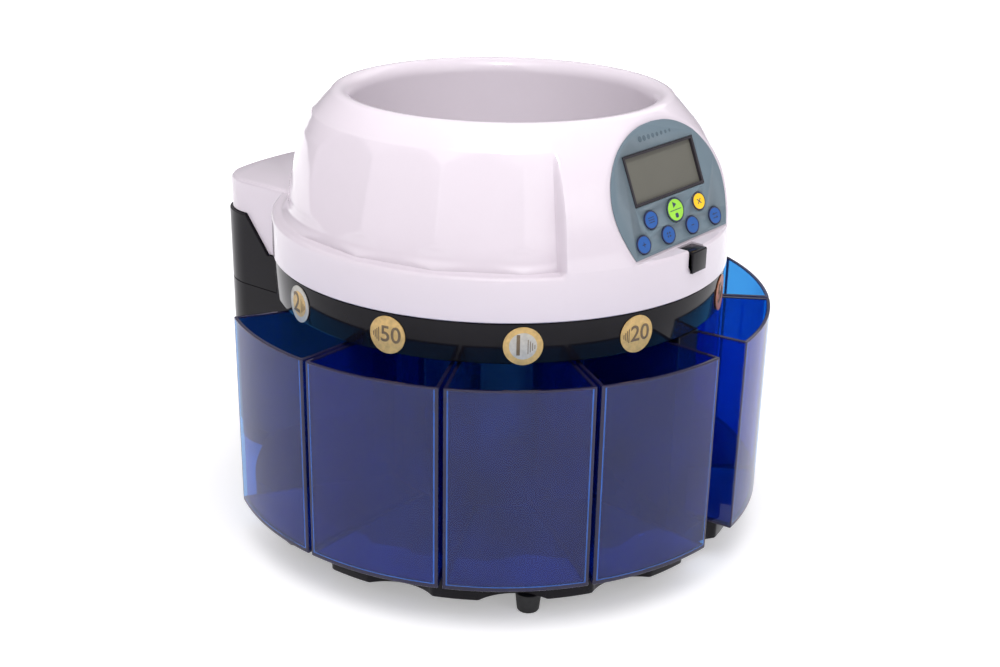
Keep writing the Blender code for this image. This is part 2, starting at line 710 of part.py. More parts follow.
def rear_connections():
    """Plate in the back wall with the mains inlet, the switch and the printer socket."""
    front = REAR_PANEL_FRONT
    half = REAR_PANEL_HALF
    corners = [(-half, REAR_PANEL_LOW), (half, REAR_PANEL_LOW), (half, REAR_PANEL_HIGH),
               (-half, REAR_PANEL_HIGH)]
    plate = prism("rear_panel", rounded(corners, 0.0008, 1), front, REAR_PANEL_BACK, "xzy")
    holes = ((INLET_X, (SOCKET_LOW, SOCKET_HIGH)), (SWITCH_X, (SOCKET_LOW, SOCKET_HIGH)),
             (PORT_X, PORT_Z))
    for (left, right), (low, high) in holes:
        cut(plate, box("hole", (left - GAP, 0.18, low - GAP), (right + GAP, 0.2, high + GAP)))
    finish(plate, "grey", (0, front, REAR_PANEL_LOW))

    left, right = INLET_X
    inlet = box("power_inlet", (left, 0.166, SOCKET_LOW), (right, SOCKET_BACK, SOCKET_HIGH))
    cut(inlet, box("socket", (left + WALL, 0.172, SOCKET_LOW + WALL),
                   (right - WALL, 0.2, SOCKET_HIGH - WALL)))
    for x, z in ((-0.021, 0.068), (-0.015, 0.072), (-0.009, 0.068)):
        join(inlet, box("pin", (x - 0.001, 0.170, z - 0.002), (x + 0.001, 0.186, z + 0.002)))
    finish(inlet, "black", ((left + right) / 2, 0.166, SOCKET_LOW))

    left, right = PORT_X
    low, high = PORT_Z
    port = box("data_port", (left, 0.172, low), (right, SOCKET_BACK, high))
    cut(port, box("port_mouth", (left + 0.0015, 0.177, low + 0.0015),
                  (right - 0.0015, 0.2, high - 0.0015)))
    finish(port, "black", ((left + right) / 2, 0.172, low))

    left, right = SWITCH_X
    middle = (left + right) / 2
    body = box("switch_body", (left, 0.1730, SOCKET_LOW), (right, SOCKET_BACK, SOCKET_HIGH))
    cut(body, box("switch_well", (left + 0.0013, 0.1752, SOCKET_LOW + 0.0011),
                  (right - 0.0013, 0.2, SOCKET_HIGH - 0.0011)))
    finish(body, "black", (middle, 0.1730, 0.070))

    pivot = Vector((middle, 0.1828, 0.070))
    reach = 0.0080
    face = [(0.0, -reach), (0.0052, -reach), (0.0043, 0.0), (0.0052, reach), (0.0, reach),
            (-0.0055, 0.0035), (-0.0055, -0.0035)]
    rocker = prism("power_rocker", face, -0.0048, 0.0048, "yzx")
    rocker.data.transform(Matrix.Translation(pivot) @ Matrix.Rotation(radians(-9), 4, "X"))
    finish(rocker, "black", pivot)


def hinge_arms():
    """Two steel arms that rise through the lid's rear wall and hold its pins."""
    for side, name in ((-1, "hinge_arm_left"), (1, "hinge_arm_right")):
        head = [(HINGE_Y + HINGE_HEAD * cos(t), HINGE_Z + HINGE_HEAD * sin(t))
                for t in [radians(a) for a in range(-30, 211, 24)]]
        stem_front = HINGE_Y - 0.0047
        stem_back = HINGE_Y + GAP
        stem = [(stem_front, 0.176), (stem_front, HINGE_ARM_FOOT), (stem_back, HINGE_ARM_FOOT),
                (stem_back, 0.178)]
        middle = side * HINGE_ARM_X
        arm = prism(name, head + stem, middle - HINGE_ARM_HALF, middle + HINGE_ARM_HALF, "yzx")
        hole = ellipse(PIN_RADIUS + GAP, PIN_RADIUS + GAP, (HINGE_Y, HINGE_Z), 12)
        cut(arm, prism("eye", hole, middle - 0.01, middle + 0.01, "yzx"))
        finish(arm, "steel", (middle, HINGE_Y, HINGE_Z))
        pin = prism(f"hinge_pin_{'left' if side < 0 else 'right'}",
                    ellipse(PIN_RADIUS, PIN_RADIUS, (HINGE_Y, HINGE_Z), 12),
                    middle - PIN_HALF, middle + PIN_HALF, "yzx")
        finish(pin, "steel", (middle, HINGE_Y, HINGE_Z))


# ---------------------------------------------------------------- lid

def recess_cutter(side):
    """Space outside the dome's set-back wall, between two upright steps."""
    wall = [(0.1308, LEDGE), (0.1272, 0.1975), (0.1263, 0.2025), (0.1261, 0.208),
            (0.1226, 0.225), (0.1182, 0.240), (0.1154, 0.246), (0.1115, 0.2535)]
    profile = [(0.150, LEDGE)] + wall + [(0.150, 0.2535)]
    return sector("recess", profile, side * RECESS_START, side * RECESS_END, 20)


def facet_cutter(side, number):
    """Space outside one flat of the recess."""
    middle = FACET_FIRST + FACET_ANGLE * number
    start = max(middle - FACET_ANGLE / 2 - 1, RECESS_START + 0.02)
    end = middle + FACET_ANGLE / 2 + 2
    points = []
    for z in (0.1985, 0.256):
        distance = facet_radius(z) * cos(radians(FACET_ANGLE / 2))
        for azimuth in (start, end):
            points.append(polar(distance / cos(radians(azimuth - middle)), side * azimuth, z))
        points.append(polar(0.160, side * end, z))
        points.append(polar(0.160, side * start, z))
    faces = [[0, 1, 2, 3], [4, 5, 6, 7], [0, 1, 5, 4], [1, 2, 6, 5], [2, 3, 7, 6], [3, 0, 4, 7]]
    return mesh_object("facet", points, faces)


def front_flat(name, depth):
    """Space in front of the leaning panel flat, set back by a depth, above the ledge."""
    slope = sin(PANEL_TILT) / cos(PANEL_TILT)
    offset = depth / cos(PANEL_TILT)
    low = FRONT_LEDGE - depth
    high = 0.30
    outline = [(-PANEL_DISTANCE + offset + slope * (low - PANEL_HEIGHT), low), (-0.2, low),
               (-0.2, high), (-PANEL_DISTANCE + offset + slope * (high - PANEL_HEIGHT), high)]
    return prism(name, outline, -0.08, 0.08, "yzx")


def cover_outside():
    """Ring, dome and rear box as one solid."""
    rim = HOPPER_RADIUS
    profile = [(0, HOPPER_BOTTOM), (0.0935, HOPPER_BOTTOM), (0.0935, RING_BOTTOM),
               (RING_RADIUS, RING_BOTTOM), (RING_RADIUS, 0.185)]
    profile += dome_profile(2)
    profile += [(rim + 0.0050, HEIGHT - 0.0006), (rim + 0.0022, HEIGHT - 0.0024),
                (rim + 0.0006, HEIGHT - 0.0056), (rim, HEIGHT - RIM_DROP), (0, HEIGHT - RIM_DROP)]
    solid = lathe("top_cover", profile, COVER_SEGMENTS)
    block = prism("box", box_outline(BOX_LID_INSET), BOX_TAB_Z + 2 * GAP, BOX_TOP)
    slant = [(BOX_TAB_Y - 0.0007, 0.1), (BOX_TAB_Y - 0.0007, BOX_TAB_Z),
             (BOX_TAB_TOP_Y - 0.0002, BOX_SPLIT + 0.0006), (0.25, BOX_SPLIT + 0.0006), (0.25, 0.1)]
    cut(block, prism("slant", slant, -0.1, 0.1, "yzx"))
    swing = tab_arc(TAB_SWING, 0.145, 0.1705) + [(0.1, 0.1705), (0.1, 0.145)]
    cut(block, prism("swing", swing, -0.1, 0.1, "yzx"))
    clearance = DRUM_RADIUS + 2 * GAP
    above = RING_BOTTOM + 0.001
    low_space = [(0, 0.1), (clearance, 0.1), (clearance, above), (0, above)]
    cut(block, lathe("low_space", low_space, COVER_SEGMENTS))
    return join(solid, block)


def cover_inside():
    """Hollow under the dome, round the hopper's wall, and inside the rear box."""
    profile = [(0.0883, 0.160), (0.1345, 0.160), (0.1345, 0.1905), (0.124, 0.1905),
               (0.1216, 0.208), (0.1164, 0.227), (0.1109, 0.246), (0.107, 0.252),
               (0.100, 0.2585), (0.0962, 0.2602), (0.0930, 0.2594), (0.0908, 0.2550)]
    hollow = lathe("hollow", profile, COVER_SEGMENTS)
    cut(hollow, front_flat("flat_back", WALL))
    pocket = box("pocket", (-0.0465, -0.003, -0.014), (0.0465, 0.025, -0.0023))
    join(hollow, on_panel(pocket))
    inner = prism("box_inside", box_outline(BOX_LID_INSET + WALL), 0.12, BOX_TOP - WALL)
    behind = box("behind", (-0.1, 0.115, 0.11), (0.1, 0.25, 0.21))
    combine(inner, behind, "INTERSECT")
    ledge = [(0, LEDGE - WALL), (RING_RADIUS + WALL, LEDGE - WALL), (RING_RADIUS + WALL, 0.21),
             (0, 0.21)]
    cut(inner, lathe("under_ledge", ledge, COVER_SEGMENTS))
    bosses = box("boss", (-BOSS_OUTER_X, 0.1785, 0.182), (BOSS_OUTER_X, 0.20, 0.21))
    cut(bosses, box("between", (-BOSS_INNER_X, 0.17, 0.18), (BOSS_INNER_X, 0.21, 0.22)))
    for middle in (-HINGE_ARM_X, HINGE_ARM_X):
        cut(bosses, box("arm_space", (middle - HINGE_SLOT_HALF, 0.17, 0.18),
                        (middle + HINGE_SLOT_HALF, 0.21, 0.22)))
    cut(inner, bosses)
    return join(hollow, inner)


def top_cover():
    """White lid: hopper, dome with flats, ring, and the top of the rear box."""
    cover = cover_outside()
    for side in (1, -1):
        cut(cover, recess_cutter(side))
        for number in range(4):
            cut(cover, facet_cutter(side, number))
    cut(cover, front_flat("panel_flat", 0.0))
    cut(cover, cover_inside())
    bowl_top = HEIGHT - RIM_DROP + 0.0002
    bowl = [(0, 0.15), (HOPPER_FOOT_RADIUS, 0.15), (HOPPER_RADIUS, bowl_top), (0, bowl_top)]
    cut(cover, lathe("bowl", bowl, COVER_SEGMENTS))
    for side in (-1, 1):
        middle = side * HINGE_ARM_X
        slot = box("arm_slot", (middle - HINGE_SLOT_HALF, 0.170, 0.14),
                   (middle + HINGE_SLOT_HALF, 0.2, 0.1908))
        cut(cover, slot)
        hole = ellipse(PIN_RADIUS + GAP, PIN_RADIUS + GAP, (HINGE_Y, HINGE_Z), 12)
        cut(cover, prism("eye", hole, middle - 0.0095, middle + 0.0095, "yzx"))
    panel_openings(cover)
    cut(cover, box("latch_slot", (-0.0079, -0.145, 0.1860), (0.0079, -0.1287, 0.210)))
    finish(cover, "white", (0, HINGE_Y, HINGE_Z))


def display_hole(name, low, high):
    half_width = DISPLAY_SIZE[0] / 2 + GAP
    half_height = DISPLAY_SIZE[1] / 2 + GAP
    return box(name, (-half_width, DISPLAY_CENTRE - half_height, low),
               (half_width, DISPLAY_CENTRE + half_height, high))


def panel_openings(cover):
    """Openings in the cover for the display and the buttons."""
    cut(cover, on_panel(display_hole("display_hole", -0.012, 0.01)))
    for x, v, size, _ in BUTTONS.values():
        outline = ellipse(size[0] + GAP, size[1] + GAP, (x, v))
        cut(cover, on_panel(prism("button_hole", outline, -0.0125, 0.01)))


def panel():
    """Label, display, circuit board, key mat and buttons of the leaning control panel."""
    low = GAP
    high = GAP + 0.0004
    label = prism("panel_label", label_outline(), low, high)
    cut(label, display_hole("window", -0.01, 0.01))
    for x, v, size, _ in BUTTONS.values():
        outline = ellipse(size[0] + GAP, size[1] + GAP, (x, v))
        cut(label, prism("hole", outline, -0.01, 0.01))
    finish_on_panel(label, "label")

    half_width = DISPLAY_SIZE[0] / 2
    half_height = DISPLAY_SIZE[1] / 2
    window = box("display_window", (-half_width, -half_height, -0.0016),
                 (half_width, half_height, 0.0008))
    finish_on_panel(window, "glass", 0, DISPLAY_CENTRE)

    module = box("display_module", (-0.034, -0.013, -0.0074), (0.034, 0.0125, -0.0032))
    finish_on_panel(module, "grey", 0, DISPLAY_CENTRE)

    mat = box("key_mat", (-0.0455, -0.0026, -0.0064), (0.0455, 0.0225, -0.0050))
    finish_on_panel(mat, "rubber")

    board = box("control_board", (-0.042, -0.002, -0.0100), (0.042, 0.051, -0.0084))
    finish_on_panel(board, "board")

    for name, (x, v, size, colour) in BUTTONS.items():
        flange_top = BUTTON_FOOT + 0.0010
        profile = [(0, BUTTON_FOOT), (BUTTON_FLANGE, BUTTON_FOOT), (BUTTON_FLANGE, flange_top),
                   (1.0, flange_top), (1.0, BUTTON_FACE - 0.0003), (0.93, BUTTON_FACE),
                   (0, BUTTON_FACE)]
        button = lathe(name, profile, 14)
        button.data.transform(Matrix.Diagonal((size[0], size[1], 1, 1)))
        finish_on_panel(button, colour, x, v)


def cover_latch():
    """Angle-shaped pull in the front of the ring, with a nose inside the wall."""
    face = LATCH_FACE_Y
    top = LATCH_TOP
    outline = [(face - 0.0016, 0.1827), (face, 0.1827), (face, top), (-0.1312, top),
               (-0.1312, 0.1715), (-0.1285, 0.1715), (-0.1291, top), (-0.1291, top + 0.0016),
               (face - 0.0010, top + 0.0016), (face - 0.0016, top + 0.0010)]
    latch = prism("cover_latch", outline, -LATCH_HALF, LATCH_HALF, "yzx")
    for name, low_x, high_x in (("side_left", -0.02, -LATCH_NOSE_HALF),
                                ("side_right", LATCH_NOSE_HALF, 0.02)):
        cut(latch, box(name, (low_x, face + 0.0001, 0.15), (high_x, -0.12, top - 0.0001)))
    finish(latch, "black", (0, face, top))


# ---------------------------------------------------------------- cups

def coin_cups():
    """Eight open wedge-shaped cups that pull straight out from under the drum."""
    half = CUP_ANGLE / 2

    def wedge(name, inner, outer, margin, low, high):
        arc_steps = 12
        outer_half = half - degrees(asin(margin / outer))
        inner_half = half - degrees(asin(margin / inner))
        points = [polar(outer, outer_half - 2 * outer_half * k / arc_steps)
                  for k in range(arc_steps + 1)]
        points += [polar(inner, -inner_half + 2 * inner_half * k / 4) for k in range(5)]
        return prism(name, [(p.x, p.y) for p in points], low, high)

    body = wedge("coin_cup", CUP_INNER_RADIUS, CUP_RADIUS, 0.0, CUP_BOTTOM, CUP_TOP)
    inside = wedge("inside", CUP_INNER_RADIUS + CUP_WALL, CUP_RADIUS - CUP_WALL, CUP_WALL,
                   CUP_BOTTOM + CUP_WALL, 0.2)
    cut(body, inside)
    mesh = body.data
    bpy.data.objects.remove(body, do_unlink=True)
    mesh.materials.clear()
    mesh.materials.append(material("blue_clear"))
    mesh.shade_smooth()
    mesh.set_sharp_from_angle(angle=radians(30))
    for number, azimuth in enumerate(CUP_AZIMUTHS, 1):
        cup = bpy.data.objects.new(f"coin_cup_{number}", mesh)
        bpy.context.collection.objects.link(cup)
        cup.location = AXIS
        cup.rotation_euler = (0, 0, -radians(azimuth))


def build():
    clear_scene()
    base_plate()
    feet()
    rear_housing()
    front_pillar()
    drum_housing()
    sorting_rail()
    coin_labels()
    drive()
    sorting_disc()
    electrics()
    rear_connections()
    hinge_arms()
    top_cover()
    panel()
    cover_latch()
    coin_cups()


build()
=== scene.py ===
"""Looks of the desktop coin sorter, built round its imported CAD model."""
from math import acos, asin, atan2, cos, degrees, pi, radians, sin, sqrt, tan

import bmesh
import bpy
from mathutils import Matrix, Vector


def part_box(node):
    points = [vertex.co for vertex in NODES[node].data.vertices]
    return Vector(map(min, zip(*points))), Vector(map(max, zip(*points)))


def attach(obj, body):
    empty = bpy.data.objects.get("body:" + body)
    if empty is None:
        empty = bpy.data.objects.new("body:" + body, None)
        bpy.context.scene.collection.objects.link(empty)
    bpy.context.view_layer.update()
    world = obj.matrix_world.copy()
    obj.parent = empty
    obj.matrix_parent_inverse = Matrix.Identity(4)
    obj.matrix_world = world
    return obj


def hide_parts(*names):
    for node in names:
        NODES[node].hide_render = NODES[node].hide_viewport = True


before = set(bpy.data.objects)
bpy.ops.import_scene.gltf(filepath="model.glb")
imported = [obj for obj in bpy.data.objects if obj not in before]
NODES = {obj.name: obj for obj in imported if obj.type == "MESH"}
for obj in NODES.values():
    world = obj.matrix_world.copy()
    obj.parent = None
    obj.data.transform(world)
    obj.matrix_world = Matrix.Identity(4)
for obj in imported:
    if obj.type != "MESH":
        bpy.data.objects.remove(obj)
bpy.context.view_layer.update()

DISC_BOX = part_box("sorting_disc")
AXIS_Y = (DISC_BOX[0][1] + DISC_BOX[1][1]) / 2
SHIFT = Matrix.Translation((0, AXIS_Y, 0))
GAP = 0.0003                    # play between touching pieces
WALL = 0.0025

# heights
FOOT_HEIGHT = 0.012
PLATE_TOP = 0.0247
CUP_BOTTOM = 0.025
CUP_TOP = 0.1428
DRUM_BOTTOM = 0.1457
RAIL_BOTTOM = 0.1568
DISC_BOTTOM = 0.160
HUB_BOTTOM = 0.1633
HOPPER_BOTTOM = 0.166
RING_BOTTOM = 0.169
LEDGE = 0.1935
FRONT_LEDGE = 0.1955
RECESS_TOP = 0.2534
RIM = 0.266

# the flat that the control panel lies on
TILT = radians(21.8)
FLAT_DISTANCE = 0.1264
FLAT_HEIGHT = 0.200
FLAT_TURN = Matrix.Rotation(pi / 2 - TILT, 4, "X")
DISPLAY_CENTRE = 0.0375
WINDOW_LOW = (-0.0356, 0.0234)
WINDOW_HIGH = (0.0356, 0.0516)

# the recess round the dome and its flats
RECESS_START = 37.5
FACET_MIDDLES = (36.4, 57.2, 78.0, 98.8)
FACET_HALF = radians(10.4)
FACET_RADIUS = 0.1262           # at FACET_HEIGHT, on the ridge between two flats
FACET_HEIGHT = 0.208
FACET_SLOPE = 0.2842
RIDGES = (46.8, 67.6, 88.4, 109.2, 111.8)

# round bodies
DRUM_RADIUS = 0.136
RING_RADIUS = 0.137
HOPPER_RADIUS = 0.0884
COLUMN_RADIUS = 0.066
DISC_RADIUS = 0.1075
BORE = 0.0053
PLATE_RADIUS = 0.1535
POCKET_RADIUS = 0.128
SCOOP_CENTRE = 0.1755
SCOOP_RADIUS = 0.030
SCOOP_STEP = 24
SCOOP_END = 131
FOOT_CIRCLE = 0.1415
FOOT_AZIMUTH = 44.2

# chutes, posts, slots and coin pictures of the drum
CHUTE_INNER = 0.094
CHUTE_OUTER = 0.127
CHUTE_HALF = 8.5
POST_AZIMUTHS = (0, 62.2, 121, 180, -121, -62.2)
SLOT_INNER = 0.1105
SLOT_LIP = 0.011
SLOT_HALF = 7.5
COIN_SIZES = (0.02575, 0.02425, 0.02325, 0.02225, 0.02125, 0.01975, 0.01875, 0.01625)
COIN_RADIUS = 0.0106
COIN_HEIGHT = 0.1563

# the rear box and the lid's hinge
BOX_BACK = 0.1895
BOX_SIDE = 0.069
BOX_CORNER = 0.031
BOX_NECK = 0.043
BOX_SPLIT = 0.1735
BOX_TOP = 0.195
HINGE_Y = 0.1815
HINGE_Z = 0.186
ARM_X = 0.040
ARM_SLOT_HALF = 0.0036
TAB_SWING = 0.064

# the cups, four on each side of the front pillar
CUP_RADIUS = 0.165
CUP_INNER_RADIUS = 0.0695
CUP_WALL = 0.002
CUP_HALF = 14.01
CUP_AZIMUTHS = [19.05 + 28.78 * i for i in (3, 2, 1, 0)]
CUP_AZIMUTHS += [-a for a in reversed(CUP_AZIMUTHS)]
EDGE_SHADE_TURN = 0.70                # painted shade of the upright corner seen edge-on, in degrees from the cup's side
# painted highlight: a bright line along the inner corner, just inside the painted shade
HIGHLIGHT_TURN = 0.98
EDGE_SHADE_HEIGHT = 0.0026            # painted shade of the lower edge seen edge-on, above the cup's bottom
HIGHLIGHT_HEIGHT = 0.0032

# ---------------------------------------------------------------- materials

def srgb(red, green, blue):
    """Linear colour from the 0-255 values that a screen shows."""
    def linear(value):
        value /= 255
        return value / 12.92 if value <= 0.04045 else ((value + 0.055) / 1.055) ** 2.4
    return (linear(red), linear(green), linear(blue), 1.0)


class Shader:
    """A node material under construction, in the object's own coordinates."""

    def __init__(self, name):
        self.material = bpy.data.materials.new(name)
        self.material.use_nodes = True
        self.tree = self.material.node_tree
        self.principled = self.tree.nodes["Principled BSDF"]
        self.output = self.tree.nodes["Material Output"]
        self.place = self.add("ShaderNodeTexCoord").outputs["Object"]

    def add(self, kind, **values):
        node = self.tree.nodes.new(kind)
        for key, value in values.items():
            setattr(node, key, value)
        return node

    def link(self, source, target):
        self.tree.links.new(source, target)

    def set(self, socket, value):
        self.principled.inputs[socket].default_value = value

    def feed(self, value, target):
        """Set a socket to a number, or link the output of a node to it."""
        if isinstance(value, float):
            target.default_value = value
        else:
            self.link(value, target)

    def math(self, operation, first, second):
        node = self.add("ShaderNodeMath", operation=operation)
        self.feed(first, node.inputs[0])
        self.feed(second, node.inputs[1])
        return node.outputs[0]

    def mix(self, share, first, second):
        """Mix of two surfaces, with a share of the second."""
        node = self.add("ShaderNodeMixShader")
        self.feed(share, node.inputs["Fac"])
        self.link(first, node.inputs[1])
        self.link(second, node.inputs[2])
        return node.outputs[0]

    def noise(self, scale, detail=3.0, roughness=0.55, stretch=(1, 1, 1)):
        mapping = self.add("ShaderNodeMapping")
        mapping.inputs["Scale"].default_value = stretch
        self.link(self.place, mapping.inputs["Vector"])
        node = self.add("ShaderNodeTexNoise")
        node.inputs["Scale"].default_value = scale
        node.inputs["Detail"].default_value = detail
        node.inputs["Roughness"].default_value = roughness
        self.link(mapping.outputs["Vector"], node.inputs["Vector"])
        return node.outputs["Fac"]

    def ramp(self, source, stops):
        node = self.add("ShaderNodeValToRGB")
        elements = node.color_ramp.elements
        while len(elements) < len(stops):
            elements.new(0.5)
        for element, (position, colour) in zip(elements, stops):
            element.position = position
            element.color = colour
        self.link(source, node.inputs["Fac"])
        return node.outputs["Color"]

    def spread(self, source, low, high, start=0.3, end=0.7):
        """Map a value between start and end to the span from low to high."""
        node = self.add("ShaderNodeMapRange")
        node.inputs["From Min"].default_value = start
        node.inputs["From Max"].default_value = end
        node.inputs["To Min"].default_value = low
        node.inputs["To Max"].default_value = high
        self.link(source, node.inputs["Value"])
        return node.outputs["Result"]

    def painted_light_margin(self, share, start):
        """Painted light: share of the bright scattering colour that grows outside a wavy circle
        round the axis.
        """
        mapping = self.add("ShaderNodeMapping")
        mapping.inputs["Location"].default_value = (0, -AXIS_Y, 0)
        mapping.inputs["Scale"].default_value = (1, 1, 0)
        self.link(self.place, mapping.inputs["Vector"])
        length = self.add("ShaderNodeVectorMath", operation="LENGTH")
        self.link(mapping.outputs["Vector"], length.inputs[0])
        # a noise wave stands for the scooped edge of the base plate, where the painted light ends
        wave = self.spread(self.noise(38, 1.0, 0.4), -0.006, 0.006)
        total = self.math("ADD", length.outputs["Value"], wave)
        return self.spread(total, share, 0.34, start - 0.0012, start + 0.0012)

    def bump(self, sources, target=None):
        """Chain bumps of (height, strength, distance)."""
        normal = None
        for height, strength, distance in sources:
            node = self.add("ShaderNodeBump")
            node.inputs["Strength"].default_value = strength
            node.inputs["Distance"].default_value = distance
            self.link(height, node.inputs["Height"])
            if normal is not None:
                self.link(normal, node.inputs["Normal"])
            normal = node.outputs["Normal"]
        self.link(normal, (target or self.principled).inputs["Normal"])
        return normal


def shades(colour, amount):
    """A darker and a lighter version of a colour."""
    low = tuple(c * (1 - amount) for c in colour[:3]) + (1.0,)
    high = tuple(min(1.0, c * (1 + amount)) for c in colour[:3]) + (1.0,)
    return low, high


def solid(name, colour, roughness, variation=0.05, mottle=40, grain=900, relief=0.03,
          wave=0.0, metallic=0.0, specular=0.5, stretch=(1, 1, 1), spread=0.06):
    """Moulded, painted or machined surface with mottled colour, gloss and fine grain."""
    shader = Shader(name)
    low, high = shades(colour, variation)
    patches = shader.noise(mottle, 4.0, 0.6, stretch)
    shader.link(shader.ramp(patches, [(0.32, low), (0.68, high)]),
                shader.principled.inputs["Base Color"])
    wear = shader.noise(mottle * 2.7, 5.0, 0.65, stretch)
    low_rough = max(0.02, roughness - spread)
    shader.link(shader.spread(wear, low_rough, roughness + spread),
                shader.principled.inputs["Roughness"])
    fine = shader.noise(grain, 2.0, 0.5, stretch)
    layers = [(fine, relief, 0.0002)]
    if wave:
        layers.append((shader.noise(22, 1.0, 0.4), wave, 0.002))
    shader.bump(layers)
    shader.set("Metallic", metallic)
    shader.set("Specular IOR Level", specular)
    return shader.material


def clear_blue(name, tint, body, share, roughness=0.03, painted_light_from=None):
    """Dyed transparent plastic: light passes through tinted, and some of it scatters."""
    shader = Shader(name)
    low, high = shades(tint, 0.05)
    through = shader.add("ShaderNodeBsdfTransparent")
    cloud = shader.noise(14, 2.0, 0.5, (1, 1, 0.35))
    shader.link(shader.ramp(cloud, [(0.35, low), (0.65, high)]), through.inputs["Color"])
    deep, pale = shades(body, 0.25)
    shader.link(shader.ramp(shader.noise(30, 3.0, 0.6), [(0.3, deep), (0.7, pale)]),
                shader.principled.inputs["Base Color"])
    shader.set("Roughness", 0.35)
    shader.set("Specular IOR Level", 0.0)
    # when a start radius is given, the scattering share rises outside a wavy circle as painted
    # light
    scatter = share if painted_light_from is None else shader.painted_light_margin(share, painted_light_from)
    dyed = shader.mix(scatter, through.outputs[0], shader.principled.outputs[0])
    gloss = shader.add("ShaderNodeBsdfGlossy")
    gloss.inputs["Roughness"].default_value = roughness
    normal = shader.bump([(shader.noise(18, 1.0, 0.4), 0.05, 0.002)], gloss)
    fresnel = shader.add("ShaderNodeFresnel")
    fresnel.inputs["IOR"].default_value = 1.5
    shader.link(normal, fresnel.inputs["Normal"])
    backfacing = shader.add("ShaderNodeNewGeometry").outputs["Backfacing"]
    mirrored = shader.math("MULTIPLY", fresnel.outputs[0], shader.math("SUBTRACT", 1.0, backfacing))
    glossed = shader.mix(mirrored, dyed, gloss.outputs[0])
    shader.link(glossed, shader.output.inputs["Surface"])
    return shader.material

def display_face():
    """Passive display that is off: olive-grey, slightly cloudy and finely grained."""
    shader = Shader("display_face")
    low, high = shades(srgb(99, 98, 90), 0.05)
    shader.link(shader.ramp(shader.noise(25, 2.0), [(0.3, low), (0.7, high)]),
                shader.principled.inputs["Base Color"])
    shader.set("Roughness", 0.32)
    shader.set("Specular IOR Level", 0.25)
    shader.bump([(shader.noise(1400, 1.0), 0.02, 0.0001)])
    return shader.material


def floor_paper():
    """White paper, faintly fibrous, that fades into the white background."""
    shader = Shader("floor_paper")
    shader.link(shader.ramp(shader.noise(6, 2.0), [(0.3, (0.90, 0.90, 0.91, 1)),
                                                   (0.7, (0.93, 0.93, 0.94, 1))]),
                shader.principled.inputs["Base Color"])
    shader.set("Roughness", 0.75)
    shader.bump([(shader.noise(300, 2.0), 0.02, 0.0003)])
    distance = shader.add("ShaderNodeVectorMath", operation="LENGTH")
    shader.link(shader.place, distance.inputs[0])
    glow = shader.spread(distance.outputs["Value"], 0.34, 1.0, 0.30, 1.8)
    shader.set("Emission Color", (1, 1, 1, 1))
    shader.link(glow, shader.principled.inputs["Emission Strength"])
    return shader.material


WHITE = solid("white_moulding", srgb(210, 201, 209), 0.08, 0.012, 18, 1500, 0.02, 0.01,
              spread=0.02)
BLACK = solid("black_gloss", srgb(17, 15, 20), 0.10, 0.25, 30, 1100, 0.03, 0.10,
              specular=0.14, spread=0.03)
DARK = solid("black_satin", srgb(28, 26, 30), 0.38, 0.2, 30, 900, 0.08, specular=0.3)
RUBBER = solid("rubber", srgb(26, 26, 28), 0.62, 0.2, 60, 700, 0.25)
LABEL = solid("label_print", srgb(98, 115, 125), 0.46, 0.04, 30, 2200, 0.10)
FRAME_BLACK = solid("display_frame", srgb(40, 36, 42), 0.35, 0.15, 60, 900, 0.08)
KEY_BLUE = solid("key_blue", srgb(26, 86, 160), 0.42, 0.06, 90, 1800, 0.10)
KEY_GREEN = solid("key_green", srgb(152, 216, 62), 0.42, 0.05, 90, 1800, 0.10)
KEY_YELLOW = solid("key_yellow", srgb(252, 200, 20), 0.42, 0.05, 90, 1800, 0.10)
KEY_RING = solid("key_outline", srgb(42, 44, 78), 0.45, 0.1, 90, 1500, 0.10)
PRINT = solid("dark_print", srgb(38, 52, 88), 0.5, 0.1, 90, 1500, 0.08)
TITLE = solid("title_print", srgb(76, 92, 102), 0.5, 0.1, 90, 1500, 0.08)
STEEL = solid("brushed_steel", srgb(176, 176, 180), 0.34, 0.10, 45, 900, 0.12,
              metallic=1.0, stretch=(1, 1, 9))
DISC = solid("disc_plastic", srgb(120, 120, 124), 0.40, 0.08, 40, 900, 0.08)
BRASS = solid("machined_brass", srgb(206, 170, 96), 0.30, 0.08, 60, 900, 0.08, metallic=1.0)
BOARD = solid("circuit_board", srgb(30, 92, 58), 0.40, 0.30, 320, 1500, 0.10)
ACETAL = solid("gear_plastic", srgb(226, 222, 214), 0.42, 0.04, 60, 900, 0.05)
GOLD = solid("coin_gold", srgb(206, 170, 104), 0.40, 0.16, 330, 1500, 0.30)
SILVER = solid("coin_silver", srgb(190, 184, 172), 0.40, 0.14, 330, 1500, 0.30)
COPPER = solid("coin_copper", srgb(190, 122, 84), 0.40, 0.16, 330, 1500, 0.30)
RELIEF = solid("coin_relief", srgb(112, 92, 66), 0.5, 0.25, 300, 1200, 0.20)
CUP_BLUE = clear_blue("cup_blue", (0.24, 0.58, 0.88), (0.012, 0.05, 0.42, 1), 0.10)
# painted light: the floor's bright body shows outside a wavy circle, where light from below passes
# the base plate's edge
CUP_FLOOR = clear_blue("cup_floor", (0.26, 0.62, 0.93), (0.03, 0.26, 0.95, 1), 0.08,
                       painted_light_from=0.134)
# painted shade: near-black for cup walls seen edge-on, at the rims, upright corners and lower edge
CUP_EDGE_SHADE = clear_blue("cup_edge_shade", (0.20, 0.20, 0.42), (0.016, 0.014, 0.05, 1), 0.85, 0.08)
# painted highlight: bright blue line along the cups' inner corner fillets
CUP_HIGHLIGHT_LINE = clear_blue("cup_highlight_line", (0.36, 0.64, 0.93), (0.04, 0.19, 0.74, 1), 0.48)
DISPLAY = display_face()


# ---------------------------------------------------------------- shapes

